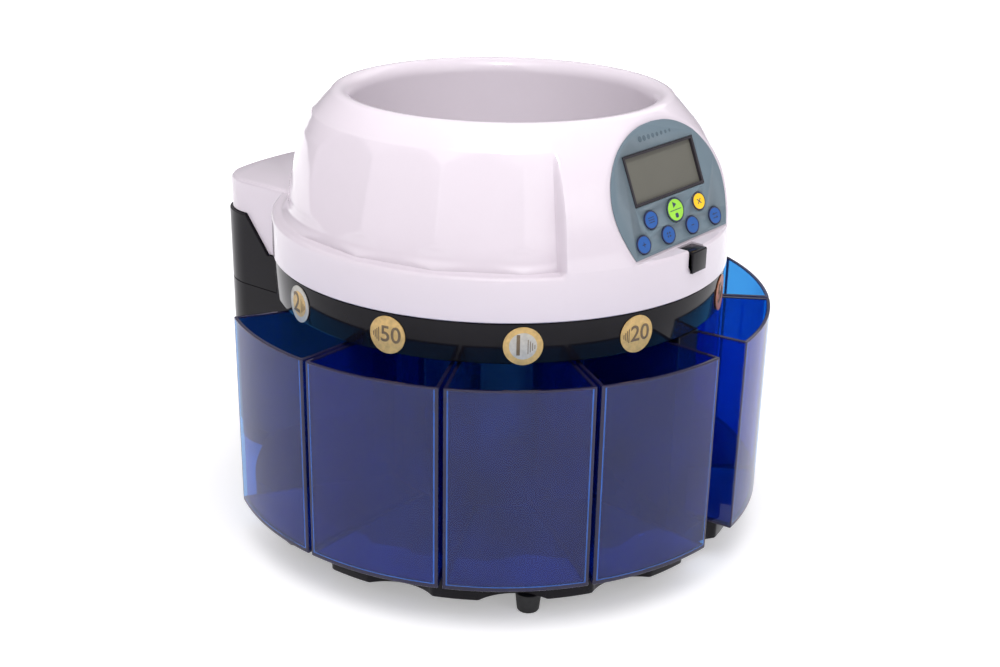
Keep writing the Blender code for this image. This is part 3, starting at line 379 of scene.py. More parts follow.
def polar(radius, azimuth, z=0.0):
    """Point at an azimuth in degrees, 0 at the front and growing to the left."""
    turn = radians(azimuth)
    return Vector((-radius * sin(turn), -radius * cos(turn), z))


def flat(radius, azimuth):
    """The same point as a plain (x, y) pair."""
    return tuple(polar(radius, azimuth)[:2])

def mesh_object(name, points, faces, material=None, angle=35):
    """New object from points in the machine's frame, whose origin is on the round axis."""
    mesh = bpy.data.meshes.new(name)
    mesh.from_pydata([tuple(p) for p in points], [], faces)
    mesh.validate()
    obj = bpy.data.objects.new(name, mesh)
    bpy.context.scene.collection.objects.link(obj)
    if material is not None:
        mesh.materials.append(material)
    shade(obj, angle)
    return obj


def shade(obj, angle=35):
    obj.data.shade_smooth()
    obj.data.set_sharp_from_angle(angle=radians(angle))
    return obj


def stacked(name, loops, material=None, closed=False, angle=35):
    """Skin over loops of equal length; ends are capped unless the stack is closed."""
    count = len(loops[0])
    points = [p for loop in loops for p in loop]
    faces = []
    last = len(loops) if closed else len(loops) - 1
    for i in range(last):
        j = (i + 1) % len(loops)
        for k in range(count):
            m = (k + 1) % count
            faces.append((i * count + k, i * count + m, j * count + m, j * count + k))
    if not closed:
        faces.append(tuple(reversed(range(count))))
        faces.append(tuple(range((len(loops) - 1) * count, len(loops) * count)))
    obj = mesh_object(name, points, faces, material, angle)
    outward(obj)
    return obj


def outward(obj):
    """Merge doubled points and turn every face outward."""
    work = bmesh.new()
    work.from_mesh(obj.data)
    bmesh.ops.remove_doubles(work, verts=work.verts, dist=1e-6)
    bmesh.ops.dissolve_degenerate(work, edges=work.edges, dist=1e-7)
    bmesh.ops.recalc_face_normals(work, faces=work.faces)
    work.to_mesh(obj.data)
    work.free()
    shade(obj)


def rounded(outline, radius, steps=4):
    """Outline with its corners rounded; radius is one number or one for each corner."""
    count = len(outline)
    result = []
    for i in range(count):
        size = radius[i] if isinstance(radius, (list, tuple)) else radius
        corner = Vector(outline[i][:2])
        before = Vector(outline[i - 1][:2]) - corner
        after = Vector(outline[(i + 1) % count][:2]) - corner
        room = 0.48 * min(before.length, after.length)
        before.normalize()
        after.normalize()
        half = acos(max(-1.0, min(1.0, before.dot(after)))) / 2
        if size <= 0 or half > radians(84):
            result.append(tuple(corner))
            continue
        reach = min(size / tan(half), room)
        size = reach * tan(half)
        centre = corner + (before + after).normalized() * size / sin(half)
        first = corner + before * reach - centre
        last = corner + after * reach - centre
        sweep = first.angle_signed(last)
        for k in range(steps + 1):
            result.append(tuple(centre + Matrix.Rotation(-sweep * k / steps, 2) @ first))
    return result


def inset(outline, distance):
    """Outline moved inwards by a distance; the outline runs counter-clockwise."""
    count = len(outline)
    result = []
    for i in range(count):
        a = Vector(outline[i - 1])
        b = Vector(outline[i])
        c = Vector(outline[(i + 1) % count])
        first = (b - a).normalized()
        second = (c - b).normalized()
        normal = Vector((-first.y - second.y, first.x + second.x))
        if normal.length < 1e-9:
            normal = Vector((-first.y, first.x))
        normal.normalize()
        along = max(0.3, normal.dot(Vector((-first.y, first.x))))
        result.append(tuple(b + normal * distance / along))
    return result


def turning(outline):
    """The same outline, counter-clockwise."""
    area = sum(a[0] * b[1] - b[0] * a[1] for a, b in zip(outline, outline[1:] + outline[:1]))
    return list(outline) if area > 0 else list(reversed(outline))


def edge_levels(low, high, bottom_round, top_round, steps=3):
    """(inset, height) pairs of a wall with rounded lower and upper edges."""
    levels = []
    if bottom_round:
        for k in range(steps + 1):
            turn = pi / 2 * k / steps
            levels.append((bottom_round * (1 - sin(turn)), low + bottom_round * (1 - cos(turn))))
    else:
        levels.append((0.0, low))
    if top_round:
        for k in range(steps + 1):
            turn = pi / 2 * k / steps
            levels.append((top_round * (1 - cos(turn)), high - top_round * (1 - sin(turn))))
    else:
        levels.append((0.0, high))
    return levels


def prism(name, outline, low, high, material=None, bottom_round=0.0, top_round=0.0):
    """Upright solid over an outline, with rounded edges."""
    outline = turning(outline)
    loops = []
    for distance, z in edge_levels(low, high, bottom_round, top_round):
        ring = inset(outline, distance) if distance > 1e-7 else outline
        loops.append([(x, y, z) for x, y in ring])
    return stacked(name, loops, material)


def lathe(name, profile, segments=160, material=None, centre=(0, 0)):
    """Solid turned round an upright axis from a closed profile of (radius, height)."""
    points = []
    for k in range(segments):
        turn = 2 * pi * k / segments
        for radius, z in profile:
            points.append((centre[0] + radius * cos(turn), centre[1] + radius * sin(turn), z))
    count = len(profile)
    faces = []
    for k in range(segments):
        m = (k + 1) % segments
        for i in range(count):
            j = (i + 1) % count
            faces.append((k * count + i, m * count + i, m * count + j, k * count + j))
    obj = mesh_object(name, points, faces, material)
    outward(obj)
    return obj


def box(name, low, high, material=None, bevel=0.0):
    outline = [(low[0], low[1]), (high[0], low[1]), (high[0], high[1]), (low[0], high[1])]
    if bevel:
        outline = rounded(outline, bevel, 3)
    return prism(name, outline, low[2], high[2], material, bevel, bevel)


def sideways(name, outline, low, high, material=None, edge=0.0):
    """Prism along X from an outline in (y, z)."""
    obj = prism(name, outline, low, high, material, edge, edge)
    obj.data.transform(Matrix(((0, 0, 1, 0), (1, 0, 0, 0), (0, 1, 0, 0), (0, 0, 0, 1))))
    return obj


def combine(target, tool, operation, solver="MANIFOLD"):
    """Join or cut the target with a tool, and remove the tool."""
    modifier = target.modifiers.new("combine", "BOOLEAN")
    modifier.operation = operation
    modifier.solver = solver
    modifier.object = tool
    bpy.context.view_layer.update()
    graph = bpy.context.evaluated_depsgraph_get()
    result = bpy.data.meshes.new_from_object(target.evaluated_get(graph))
    target.modifiers.clear()
    if solver == "MANIFOLD" and not result.polygons:
        return combine(target, tool, operation, "EXACT")
    target.data = result
    bpy.data.objects.remove(tool, do_unlink=True)
    return target


def cut(target, tool):
    return combine(target, tool, "DIFFERENCE")

def join(target, tool):
    return combine(target, tool, "UNION")

def ellipse(half_x, half_y, centre=(0, 0), count=40):
    return [(centre[0] + half_x * cos(2 * pi * k / count),
             centre[1] + half_y * sin(2 * pi * k / count)) for k in range(count)]


def spline(points, steps):
    """A Catmull-Rom curve through the points."""
    ends = [2 * Vector(points[0]) - Vector(points[1])]
    ends += [Vector(p) for p in points]
    ends += [2 * Vector(points[-1]) - Vector(points[-2])]
    curve = []
    for a, b, c, d in zip(ends, ends[1:], ends[2:], ends[3:]):
        for k in range(steps):
            t = k / steps
            curve.append(tuple(0.5 * (2 * b + (c - a) * t + (2 * a - 5 * b + 4 * c - d) * t ** 2
                                      + (3 * b - a - 3 * c + d) * t ** 3)))
    return curve + [tuple(points[-1])]


def place(obj, body, slot, *nodes, material=None):
    """Shift a piece from the machine's frame to the part's, and tie it to its body."""
    obj.data.transform(SHIFT)
    if material is not None:
        obj.data.materials.clear()
        obj.data.materials.append(material)
    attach(obj, body)
    if nodes:
        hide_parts(*nodes)
    return obj


def recolour(node, material):
    """Give a CAD node that stays as it is a procedural material."""
    data = NODES[node].data
    data.materials.clear()
    data.materials.append(material)


# ---------------------------------------------------------------- lid

DOME = spline([(0.137, 0.1955), (0.1351, 0.208), (0.1299, 0.226), (0.1193, 0.244),
               (0.107, 0.258), (0.1001, 0.2648)], 12)
WALL_LINE = spline([(0.1308, LEDGE), (0.1272, 0.1975), (0.1263, 0.2025), (0.1261, 0.208),
                    (0.1226, 0.225), (0.1182, 0.240), (0.1154, 0.246), (0.1115, 0.2535)], 8)


def along(line, z):
    """Radius at a height on a rising profile line."""
    if z <= line[0][1]:
        return line[0][0]
    for (r0, z0), (r1, z1) in zip(line, line[1:]):
        if z0 <= z <= z1:
            return r0 + (r1 - r0) * (z - z0) / max(z1 - z0, 1e-9)
    return line[-1][0]


def soft_min(a, b, reach):
    """The lower of two values, with the crease between them rounded."""
    overlap = max(reach - abs(a - b), 0.0) / reach
    return min(a, b) - overlap * overlap * reach / 4


def smooth_step(value, start, end):
    t = max(0.0, min(1.0, (value - start) / (end - start)))
    return t * t * (3 - 2 * t)


def facet_distance(z):
    ridge = FACET_RADIUS - FACET_SLOPE * (z - FACET_HEIGHT)
    return ridge * cos(FACET_HALF)


def recess_share(azimuth):
    """0 on the full front of the dome, 1 in the set-back recess, with a short rounded step."""
    return smooth_step(abs(azimuth), RECESS_START - 0.25, RECESS_START + 1.05)


def recess_radius(azimuth, z):
    radius = along(WALL_LINE, z)
    for middle in FACET_MIDDLES:
        off = radians(abs(azimuth) - middle)
        if abs(off) < 1.2:
            radius = soft_min(radius, facet_distance(z) / cos(off), 0.00045)
    return radius


def flat_radius(azimuth, z):
    """Radius of the panel's flat, or a large one where it doesn't reach."""
    if abs(azimuth) > 62:
        return 1.0
    return (FLAT_DISTANCE - tan(TILT) * (z - FLAT_HEIGHT)) / cos(radians(azimuth))


def dome_point(azimuth, row):
    """Outside of the ring and dome; a row holds a full point and a set-back point."""
    (full_r, full_z), (deep_r, deep_z) = row
    share = recess_share(azimuth)
    if deep_r == 0.0:
        deep_r = recess_radius(azimuth, deep_z)
    z = full_z + (deep_z - full_z) * share
    radius = full_r + (deep_r - full_r) * share
    flat = flat_radius(azimuth, z)
    if full_z > FRONT_LEDGE + 0.0004:
        radius = soft_min(radius, flat, 0.0010)
    elif full_z > FRONT_LEDGE - 0.0018:
        cut = max(0.0, min(1.0, (RING_RADIUS - flat) / 0.003))
        drop = (full_z - (FRONT_LEDGE - 0.0018)) / 0.0022
        radius -= cut * 0.0018 * (1 - sqrt(max(0.0, 1 - drop * drop)))
    return radius, z


def dome_rows():
    """Rows up the outside, each with its point on the full dome and in the recess.

    A recess point with no radius takes it from the recess's wall.
    """
    straight = 0.1905
    rows = [((RING_RADIUS, z), (RING_RADIUS, z)) for z in (0.1705, 0.176, 0.182, 0.187, straight)]
    bead = 0.0022
    steps = 7
    for k in range(1, steps + 1):
        turn = pi / 2 * k / steps
        full = (RING_RADIUS, straight + (FRONT_LEDGE - straight) * k / steps)
        deep = (RING_RADIUS - bead * (1 - cos(turn)), LEDGE - bead * (1 - sin(turn)))
        rows.append((full, deep))
    for k in range(1, 4):
        z = FRONT_LEDGE + 0.00022 * k
        rows.append(((along(DOME, z), z), (RING_RADIUS - bead - 0.0012 * k, LEDGE)))
    count = 74
    low = FRONT_LEDGE + 0.0008
    deep_low = LEDGE + 0.0002
    for k in range(count + 1):
        z = low + (RECESS_TOP - low) * k / count
        deep_z = deep_low + (RECESS_TOP - deep_low) * k / count
        rows.append(((along(DOME, z), z), (0.0, deep_z)))
    rows += [((radius, z), (radius, z)) for radius, z in DOME if z > RECESS_TOP + 0.0006]
    return rows

def azimuths():
    """Columns round the axis, closer together at the steps, ridges and panel edges."""
    turns = [0.5 * k for k in range(-74, 75)]
    turns += [1.25 * k for k in range(30, 145)] + [-1.25 * k for k in range(30, 144)]
    for side in (-1, 1):
        turns += [side * (RECESS_START + 0.4 + 0.16 * k) for k in range(-7, 8)]
        for ridge in RIDGES:
            turns += [side * (ridge + 0.35 * k) for k in range(-4, 5)]
    kept = []
    for turn in sorted(turns):
        if not kept or turn - kept[-1] > 0.1:
            kept.append(turn)
    if kept[-1] - kept[0] > 359.9:
        kept.pop()
    return kept


def lid_outside():
    """Skin of the lid: under the ring, up the dome, over the rim and down the hopper."""
    columns = azimuths()

    def circle(radius, z):
        return [polar(radius, azimuth, z) for azimuth in columns]

    edge = 0.0006
    skirt = 0.0935
    loops = [circle(skirt, HOPPER_BOTTOM), circle(skirt, RING_BOTTOM),
             circle(RING_RADIUS - edge, RING_BOTTOM), circle(RING_RADIUS, RING_BOTTOM + edge)]
    for row in dome_rows():
        loop = []
        for azimuth in columns:
            radius, z = dome_point(azimuth, row)
            loop.append(polar(radius, azimuth, z))
        loops.append(loop)
    rim_width = 0.0078
    rim_height = 0.0090
    taper = 0.0022
    low = RIM - rim_height
    for turn in [radians(6 * k) for k in range(-4, 16)]:
        loops.append(circle(HOPPER_RADIUS + rim_width * (1 - sin(turn)),
                            low + rim_height * cos(turn)))
    for k in range(1, 9):
        loops.append(circle(HOPPER_RADIUS - taper * k / 8, low - 0.0904 * k / 8))
    loops.append(circle(HOPPER_RADIUS - taper + 0.0004, HOPPER_BOTTOM))
    return stacked("lid_shell", loops, WHITE, closed=True)

def lid_inside():
    """Hollow under the dome, set back behind the panel's flat."""
    profile = [(0.0883, 0.160), (0.1345, 0.160), (0.1345, 0.1905), (0.124, 0.1905),
               (0.1225, 0.199), (0.1216, 0.208), (0.1190, 0.218), (0.1164, 0.227),
               (0.1137, 0.237), (0.1109, 0.246), (0.107, 0.252), (0.100, 0.2585),
               (0.0962, 0.2602), (0.0930, 0.2594), (0.0908, 0.2550)]
    turns = [3.0 * k for k in range(120)]
    loops = []
    for radius, z in profile:
        loop = []
        for azimuth in turns:
            signed = azimuth if azimuth <= 180 else azimuth - 360
            limit = flat_radius(signed, z) - 0.0027
            deep = min(radius, limit) if z > FRONT_LEDGE else radius
            loop.append(polar(deep, azimuth, z))
        loops.append(loop)
    return stacked("hollow", loops, closed=True)


def box_outline(margin, steps=14):
    """Plan of the rear box: straight sides, round corners and a back centred on the axis."""
    back = BOX_BACK - margin
    side = BOX_SIDE - margin
    corner = BOX_CORNER - margin
    centre_x = side - corner
    centre_y = sqrt((back - corner) ** 2 - centre_x ** 2)
    meeting = atan2(centre_y, centre_x)
    half = [(side, BOX_NECK + margin)]
    for k in range(steps + 1):
        turn = meeting * k / steps
        half.append((centre_x + corner * cos(turn), centre_y + corner * sin(turn)))
    for k in range(1, 8):
        turn = meeting + (pi / 2 - meeting) * k / 8
        half.append((back * cos(turn), back * sin(turn)))
    mirrored = [(-x, y) for x, y in reversed(half)]
    return turning(half + [(0, back)] + mirrored)


def swing_line(radius, start, end):
    """Points (y, z) on an arc about the hinge's pins, from one height to another."""
    heights = [start + (end - start) * k / 8 for k in range(9)]
    return [(HINGE_Y - sqrt(radius ** 2 - (HINGE_Z - z) ** 2), z) for z in heights]

def lid_box():
    """Top of the rear box, cut free of the lower box, the drum and the hopper."""
    block = prism("block", box_outline(0.002), 0.1506, BOX_TOP, None, 0.0, 0.0028)
    slant = [(0.1323, 0.1), (0.1323, 0.150), (0.1518, 0.1741), (0.25, 0.1741), (0.25, 0.1)]
    cut(block, sideways("slant", slant, -0.1, 0.1))
    swing = swing_line(TAB_SWING, 0.145, 0.1705) + [(0.1, 0.1705), (0.1, 0.145)]
    cut(block, sideways("swing", swing, -0.1, 0.1))
    clear = DRUM_RADIUS + 2 * GAP
    cut(block, lathe("low_space", [(0, 0.1), (clear, 0.1), (clear, 0.170), (0, 0.170)]))
    cut(block, lathe("bowl_space", [(0, 0.14), (0.0868, 0.14), (0.0885, 0.21), (0, 0.21)]))
    return block

def lid_box_inside():
    """Hollow of the rear box's top, round the bosses of the hinge."""
    inner = prism("box_inside", box_outline(0.0045), 0.12, 0.1925)
    combine(inner, box("behind", (-0.1, 0.115, 0.11), (0.1, 0.25, 0.21)), "INTERSECT")
    under = LEDGE - WALL
    reach = RING_RADIUS + WALL
    cut(inner, lathe("under_ledge", [(0, under), (reach, under), (reach, 0.21), (0, 0.21)]))
    for side in (-1, 1):
        for start, end in ((0.031, 0.0364), (0.0436, 0.049)):
            low_x, high_x = sorted((side * start, side * end))
            cut(inner, box("boss", (low_x, 0.1785, 0.182), (high_x, 0.20, 0.21)))
    return inner

def lid_openings(shell):
    """Slots for the hinge arms and the latch, and openings for the display and keys."""
    for middle in (-ARM_X, ARM_X):
        cut(shell, box("arm_slot", (middle - ARM_SLOT_HALF, 0.170, 0.14),
                       (middle + ARM_SLOT_HALF, 0.2, 0.1908)))
    cut(shell, box("latch_slot", (-0.0079, -0.145, 0.1860), (0.0079, -0.1287, 0.210)))
    cut(shell, to_panel(box("display_hole", (*WINDOW_LOW, -0.012), (*WINDOW_HIGH, 0.01))))
    cut(shell, to_panel(box("key_pocket", (-0.0465, -0.003, -0.014), (0.0465, 0.025, -0.0023))))
    for name, (x, v, _, _) in BUTTONS.items():
        half_x, half_y = panel_size(name)
        hole = prism("key_hole", ellipse(half_x + GAP, half_y + GAP, (x, v)), -0.0125, 0.01)
        cut(shell, to_panel(hole))

def top_cover():
    shell = lid_outside()
    join(shell, lid_box())
    box_inside = lid_box_inside()
    cut(shell, lid_inside())
    cut(shell, box_inside)
    lid_openings(shell)
    shade(shell, 28)
    place(shell, "cover", "white_abs", "top_cover", material=WHITE)

# ---------------------------------------------------------------- control panel

BUTTONS = {
    "button_plus": (-0.0372, 0.00385, KEY_BLUE, "key_blue"),
    "button_batch": (-0.0125, 0.00385, KEY_BLUE, "key_blue"),
    "button_minus": (0.0125, 0.00385, KEY_BLUE, "key_blue"),
    "button_set": (0.0372, 0.00385, KEY_BLUE, "key_blue"),
    "button_report": (-0.0249, 0.0149, KEY_BLUE, "key_blue"),
    "button_start_stop": (0.0, 0.0152, KEY_GREEN, "key_green"),
    "button_clear": (0.0249, 0.0149, KEY_YELLOW, "key_yellow"),
}


def panel_size(name):
    return (0.0082, 0.0066) if name == "button_start_stop" else (0.0063, 0.00495)


def to_panel(obj, x=0.0, v=0.0, n=0.0):
    """Turn a piece drawn flat, +Z out of the panel, into the panel's place."""
    y = -FLAT_DISTANCE + v * sin(TILT) - n * cos(TILT)
    z = FLAT_HEIGHT + v * cos(TILT) + n * sin(TILT)
    obj.data.transform(Matrix.Translation((x, y, z)) @ FLAT_TURN)
    return obj


def label_outline():
    right = spline([(0.0470, -0.0031), (0.0512, 0.006), (0.0548, 0.017), (0.0550, 0.029),
                    (0.0500, 0.042), (0.0395, 0.0535), (0.0270, 0.0605), (0.0135, 0.0644),
                    (0.0, 0.0655)], 8)
    left = [(-x, v) for x, v in reversed(right[:-1])]
    return turning(right + left)


def flat_mark(name, outline, x, v, low, high, body, material, slot):
    mark = prism(name, outline, low, high, material)
    place(to_panel(mark, x, v), body, slot)
    return mark


def bar(width, height, x=0.0, y=0.0, turn=0.0):
    corners = rounded([(-width / 2, -height / 2), (width / 2, -height / 2),
                       (width / 2, height / 2), (-width / 2, height / 2)], height * 0.3, 2)
    turned = Matrix.Rotation(turn, 2)
    return [tuple(turned @ Vector(p) + Vector((x, y))) for p in corners]


def ring_mesh(name, outer, inner, low, high, material):
    """Flat ring between two outlines with the same number of points."""
    loops = [[(x, y, low) for x, y in outer], [(x, y, high) for x, y in outer],
             [(x, y, high) for x, y in inner], [(x, y, low) for x, y in inner]]
    return stacked(name, loops, material, closed=True)


KEY_MARKS = {
    "button_plus": [bar(0.0034, 0.0006), bar(0.0006, 0.0030)],
    "button_minus": [bar(0.0030, 0.0006)],
    "button_batch": [bar(0.0014, 0.0011, x, y) for x in (-0.0011, 0.0011)
                     for y in (-0.0009, 0.0009)],
    "button_set": [bar(0.0052, 0.0005, 0, y) for y in (-0.0011, 0.0011)]
    + [bar(0.0009, 0.0014, -0.0012, 0.0011), bar(0.0009, 0.0014, 0.0012, -0.0011)],
    "button_report": [bar(0.0056, 0.0005, 0, y) for y in (-0.0013, 0.0, 0.0013)],
    "button_start_stop": [bar(0.0112, 0.0004),
                          [(-0.0016, 0.0013), (0.0018, 0.0030), (-0.0016, 0.0047)],
                          bar(0.0030, 0.0026, 0, -0.0031)],
    "button_clear": [bar(0.0046, 0.0006, 0, 0, radians(38)),
                     bar(0.0046, 0.0006, 0, 0, radians(-38))],
}


def panel_print():
    """Label with openings for the display and the keys, and a row of discs as its title."""
    label = prism("panel_overlay", label_outline(), GAP, 0.0007, LABEL, 0.0, 0.0001)
    hole = box("window", (*WINDOW_LOW, -0.01), (*WINDOW_HIGH, 0.01))
    cut(label, hole)
    for name, (x, v, _, _) in BUTTONS.items():
        half_x, half_y = panel_size(name)
        tool = prism("hole", ellipse(half_x + GAP, half_y + GAP, (x, v)), -0.01, 0.01)
        cut(label, tool)
    place(to_panel(label), "cover", "label_grey", "panel_label", material=LABEL)

    for k in range(8):
        size = 0.00165 - 0.00010 * k
        flat_mark(f"title_disc_{k + 1}", ellipse(size, size, count=24), -0.0150 + 0.0043 * k,
                  0.0578, 0.0007, 0.00078, "cover", TITLE, "label_grey")

def panel_display():
    """Black border of the window, a little wider at the right and bottom as painted shade inside
    the recess, and the display behind it.
    """
    outer = [(-0.0353, -0.0138), (0.0353, -0.0138), (0.0353, 0.0138), (-0.0353, 0.0138)]
    # the inner edge sits further in at the right and bottom: painted shade of the recessed window
    inner = [(-0.0336, -0.0122), (0.0334, -0.0122), (0.0334, 0.0124), (-0.0336, 0.0124)]
    bezel = ring_mesh("display_bezel", outer, inner, -0.0016, 0.0010, FRAME_BLACK)
    place(to_panel(bezel, 0, DISPLAY_CENTRE), "cover", "display_glass")
    screen = prism("display_screen", [(-0.0345, -0.0130), (0.0345, -0.0130),
                                      (0.0345, 0.0130), (-0.0345, 0.0130)],
                   -0.0015, -0.0006, DISPLAY)
    place(to_panel(screen, 0, DISPLAY_CENTRE), "cover", "display_glass", "display_window")

def panel_keys():
    """Slightly domed keys, each with a dark outline and a symbol."""
    for name, (x, v, material, slot) in BUTTONS.items():
        half_x, half_y = panel_size(name)
        profile = [(1.13, -0.0040), (1.13, -0.0030), (1.0, -0.0030), (1.0, 0.0007),
                   (0.985, 0.00095), (0.95, 0.0011)]
        loops = [[(px, py, z) for px, py in ellipse(half_x * s, half_y * s, count=48)]
                 for s, z in profile]
        for share, z in ((0.90, 0.00113), (0.55, 0.00118), (0.20, 0.0012)):
            loops.append([(px, py, z) for px, py in ellipse(half_x * share, half_y * share,
                                                            count=48)])
        cap = stacked(f"{name}_cap", loops, material)
        place(to_panel(cap, x, v), name, slot, name)
        edge = ring_mesh(f"{name}_ring", ellipse(half_x * 1.005, half_y * 1.005, count=48),
                         ellipse(half_x * 0.91, half_y * 0.90, count=48),
                         0.0006, 0.00122, KEY_RING)
        place(to_panel(edge, x, v), name, slot)
        for number, outline in enumerate(KEY_MARKS[name], 1):
            flat_mark(f"{name}_mark_{number}", outline, x, v, 0.0009, 0.00126, name, PRINT,
                      slot)


def cover_latch():
    outline = [(-0.1392, 0.1827), (-0.1376, 0.1827), (-0.1376, 0.1935), (-0.1312, 0.1935),
               (-0.1312, 0.1715), (-0.1285, 0.1715), (-0.1291, 0.1951), (-0.1386, 0.1951),
               (-0.1392, 0.1945)]
    radii = [0.0004, 0.0004, 0.0006, 0.0006, 0.0003, 0.0003, 0.0004, 0.0007, 0.0005]
    latch = sideways("latch_pull", rounded(outline, radii, 3), -0.0073, 0.0073, BLACK, 0.0004)
    for side in (-1, 1):
        low, high = sorted((side * 0.0048, side * 0.02))
        tool = box("side", (low, -0.1375, 0.15), (high, -0.12, 0.1934))
        cut(latch, tool)
    shade(latch, 30)
    place(latch, "latch", "black_abs", "cover_latch", material=BLACK)


# ---------------------------------------------------------------- round base

def drum():
    """Tray over the cups, with chute holes, posts under the rail and notches for the lid."""
    floor = DRUM_BOTTOM + WALL
    top = RING_BOTTOM - GAP
    inner = DRUM_RADIUS - 0.0035
    profile = rounded([(0.060, DRUM_BOTTOM), (DRUM_RADIUS, DRUM_BOTTOM), (DRUM_RADIUS, top),
                       (inner, top), (inner, floor), (0.060, floor)],
                      [0.0005, 0.0012, 0.0008, 0.0005, 0.0005, 0.0005], 3)
    tray = lathe("drum_tray", profile, 200, BLACK)
    for azimuth in CUP_AZIMUTHS:
        outline = [flat(CHUTE_INNER, azimuth + turn) for turn in (CHUTE_HALF, 0, -CHUTE_HALF)]
        outline += [flat(CHUTE_OUTER, azimuth - CHUTE_HALF + CHUTE_HALF * k / 4) for k in range(9)]
        cut(tray, prism("chute", outline, 0.14, 0.15))
    for azimuth in POST_AZIMUTHS:
        outline = [flat(radius, azimuth + turn) for radius, turn in
                   ((0.119, 1.2), (0.119, -1.2), (0.129, -1.2), (0.129, 1.2))]
        join(tray, prism("post", outline, floor - 0.001, RAIL_BOTTOM - GAP, None, 0, 0.0004))
    for side in (-1, 1):
        outline = [flat(radius, side * turn) for radius, turn in
                   ((0.125, 150.5), (0.140, 150.5), (0.140, 154.5), (0.140, 158.5),
                    (0.125, 158.5))]
        cut(tray, prism("notch", outline, 0.1532, 0.18))
    shade(tray, 30)
    place(tray, "base", "black_abs", "drum_housing", material=BLACK)

def sorting_rail():
    """Ring round the disc with a slot for each coin size."""
    bottom = RAIL_BOTTOM
    profile = rounded([(0.108, bottom), (0.131, bottom), (0.131, 0.1655), (0.1278, 0.1655),
                       (0.1278, bottom + WALL), (0.108, bottom + WALL)], 0.0004, 2)
    rail = lathe("coin_rail", profile, 180, STEEL)
    for azimuth, size in zip(CUP_AZIMUTHS, COIN_SIZES):
        reach = SLOT_INNER + size - SLOT_LIP
        turns = [SLOT_HALF - SLOT_HALF * k / 3 for k in range(7)]
        outline = [flat(SLOT_INNER, azimuth + turn) for turn in turns]
        outline += [flat(reach, azimuth - turn) for turn in turns]
        cut(rail, prism("slot", outline, 0.15, 0.164))
    shade(rail, 30)
    place(rail, "base", "steel", "sorting_rail", material=STEEL)

def sorting_disc():
    top = DISC_BOTTOM + 0.003
    profile = rounded([(BORE, 0.151), (0.017, 0.151), (0.020, DISC_BOTTOM),
                       (DISC_RADIUS, DISC_BOTTOM), (DISC_RADIUS, top), (BORE, top)],
                      [0.0003, 0.001, 0.0, 0.0008, 0.0008, 0.0003], 3)
    disc = lathe("turning_disc", profile, 180, DISC)
    place(disc, "disc", "grey_abs", "sorting_disc", material=DISC)

def disc_hub():
    """Rubber cap over the shaft, with three paddles."""
    low = HUB_BOTTOM
    profile = rounded([(0, 0.1683), (BORE, 0.1683), (BORE, low), (0.028, low),
                       (0.0272, low + 0.0028), (0.015, 0.1715), (0.0095, 0.1762), (0, 0.1775)],
                      [0, 0.0003, 0.0003, 0.0008, 0.003, 0.012, 0.006, 0], 5)
    hub = lathe("disc_hub_cap", profile, 72, RUBBER)
    for k in range(3):
        outline = rounded([(0.018, -0.004), (0.062, -0.003), (0.062, 0.003), (0.018, 0.004)],
                          0.0025, 5)
        blade = prism("paddle", outline, low, low + 0.0045, None, 0.0003, 0.0015)
        blade.data.transform(Matrix.Rotation(2 * pi * k / 3, 4, "Z"))
        join(hub, blade)
    shade(hub, 32)
    place(hub, "disc", "rubber", "disc_hub", material=RUBBER)

def plate_radius(azimuth):
    """Radius of the base plate, with shallow scoops evenly spaced round its edge."""
    off = abs((azimuth + SCOOP_STEP / 2) % SCOOP_STEP - SCOOP_STEP / 2)
    depth = SCOOP_RADIUS ** 2 - (SCOOP_CENTRE * sin(radians(off))) ** 2
    if abs(azimuth) > SCOOP_END or depth <= 0:
        return PLATE_RADIUS
    return min(PLATE_RADIUS, SCOOP_CENTRE * cos(radians(off)) - sqrt(depth))

def base_plate():
    outline = [flat(plate_radius(turn), turn) for turn in [180 - 0.5 * k for k in range(720)]]
    plate = prism("base_disc", turning(outline), FOOT_HEIGHT, PLATE_TOP, BLACK, 0.0012, 0.0008)
    rear = prism("rear_foot", box_outline(0.001), FOOT_HEIGHT, PLATE_TOP, None, 0.0012, 0.0008)
    join(plate, rear)
    deck = PLATE_TOP - WALL
    pocket = [(0, 0), (POCKET_RADIUS, 0), (POCKET_RADIUS, deck), (0, deck)]
    cut(plate, lathe("pocket", pocket, 120))
    rear_pocket = prism("rear_pocket", box_outline(0.006), 0.001, deck)
    cut(rear_pocket, box("front_part", (-0.1, 0.0, 0.0), (0.1, 0.134, 0.1)))
    cut(plate, rear_pocket)
    shade(plate, 30)
    place(plate, "base", "black_abs", "base_plate", material=BLACK)

def feet():
    top = FOOT_HEIGHT - GAP
    profile = rounded([(0, 0), (0.0062, 0), (0.0075, top), (0, top)], [0, 0.0012, 0.0004, 0], 4)
    behind = 180 - FOOT_AZIMUTH
    for name, azimuth in (("foot_front_left", FOOT_AZIMUTH), ("foot_front_right", -FOOT_AZIMUTH),
                          ("foot_rear_left", behind), ("foot_rear_right", -behind)):
        foot = lathe(f"{name}_pad", profile, 48, RUBBER, flat(FOOT_CIRCLE, azimuth))
        place(foot, "base", "rubber", name, material=RUBBER)

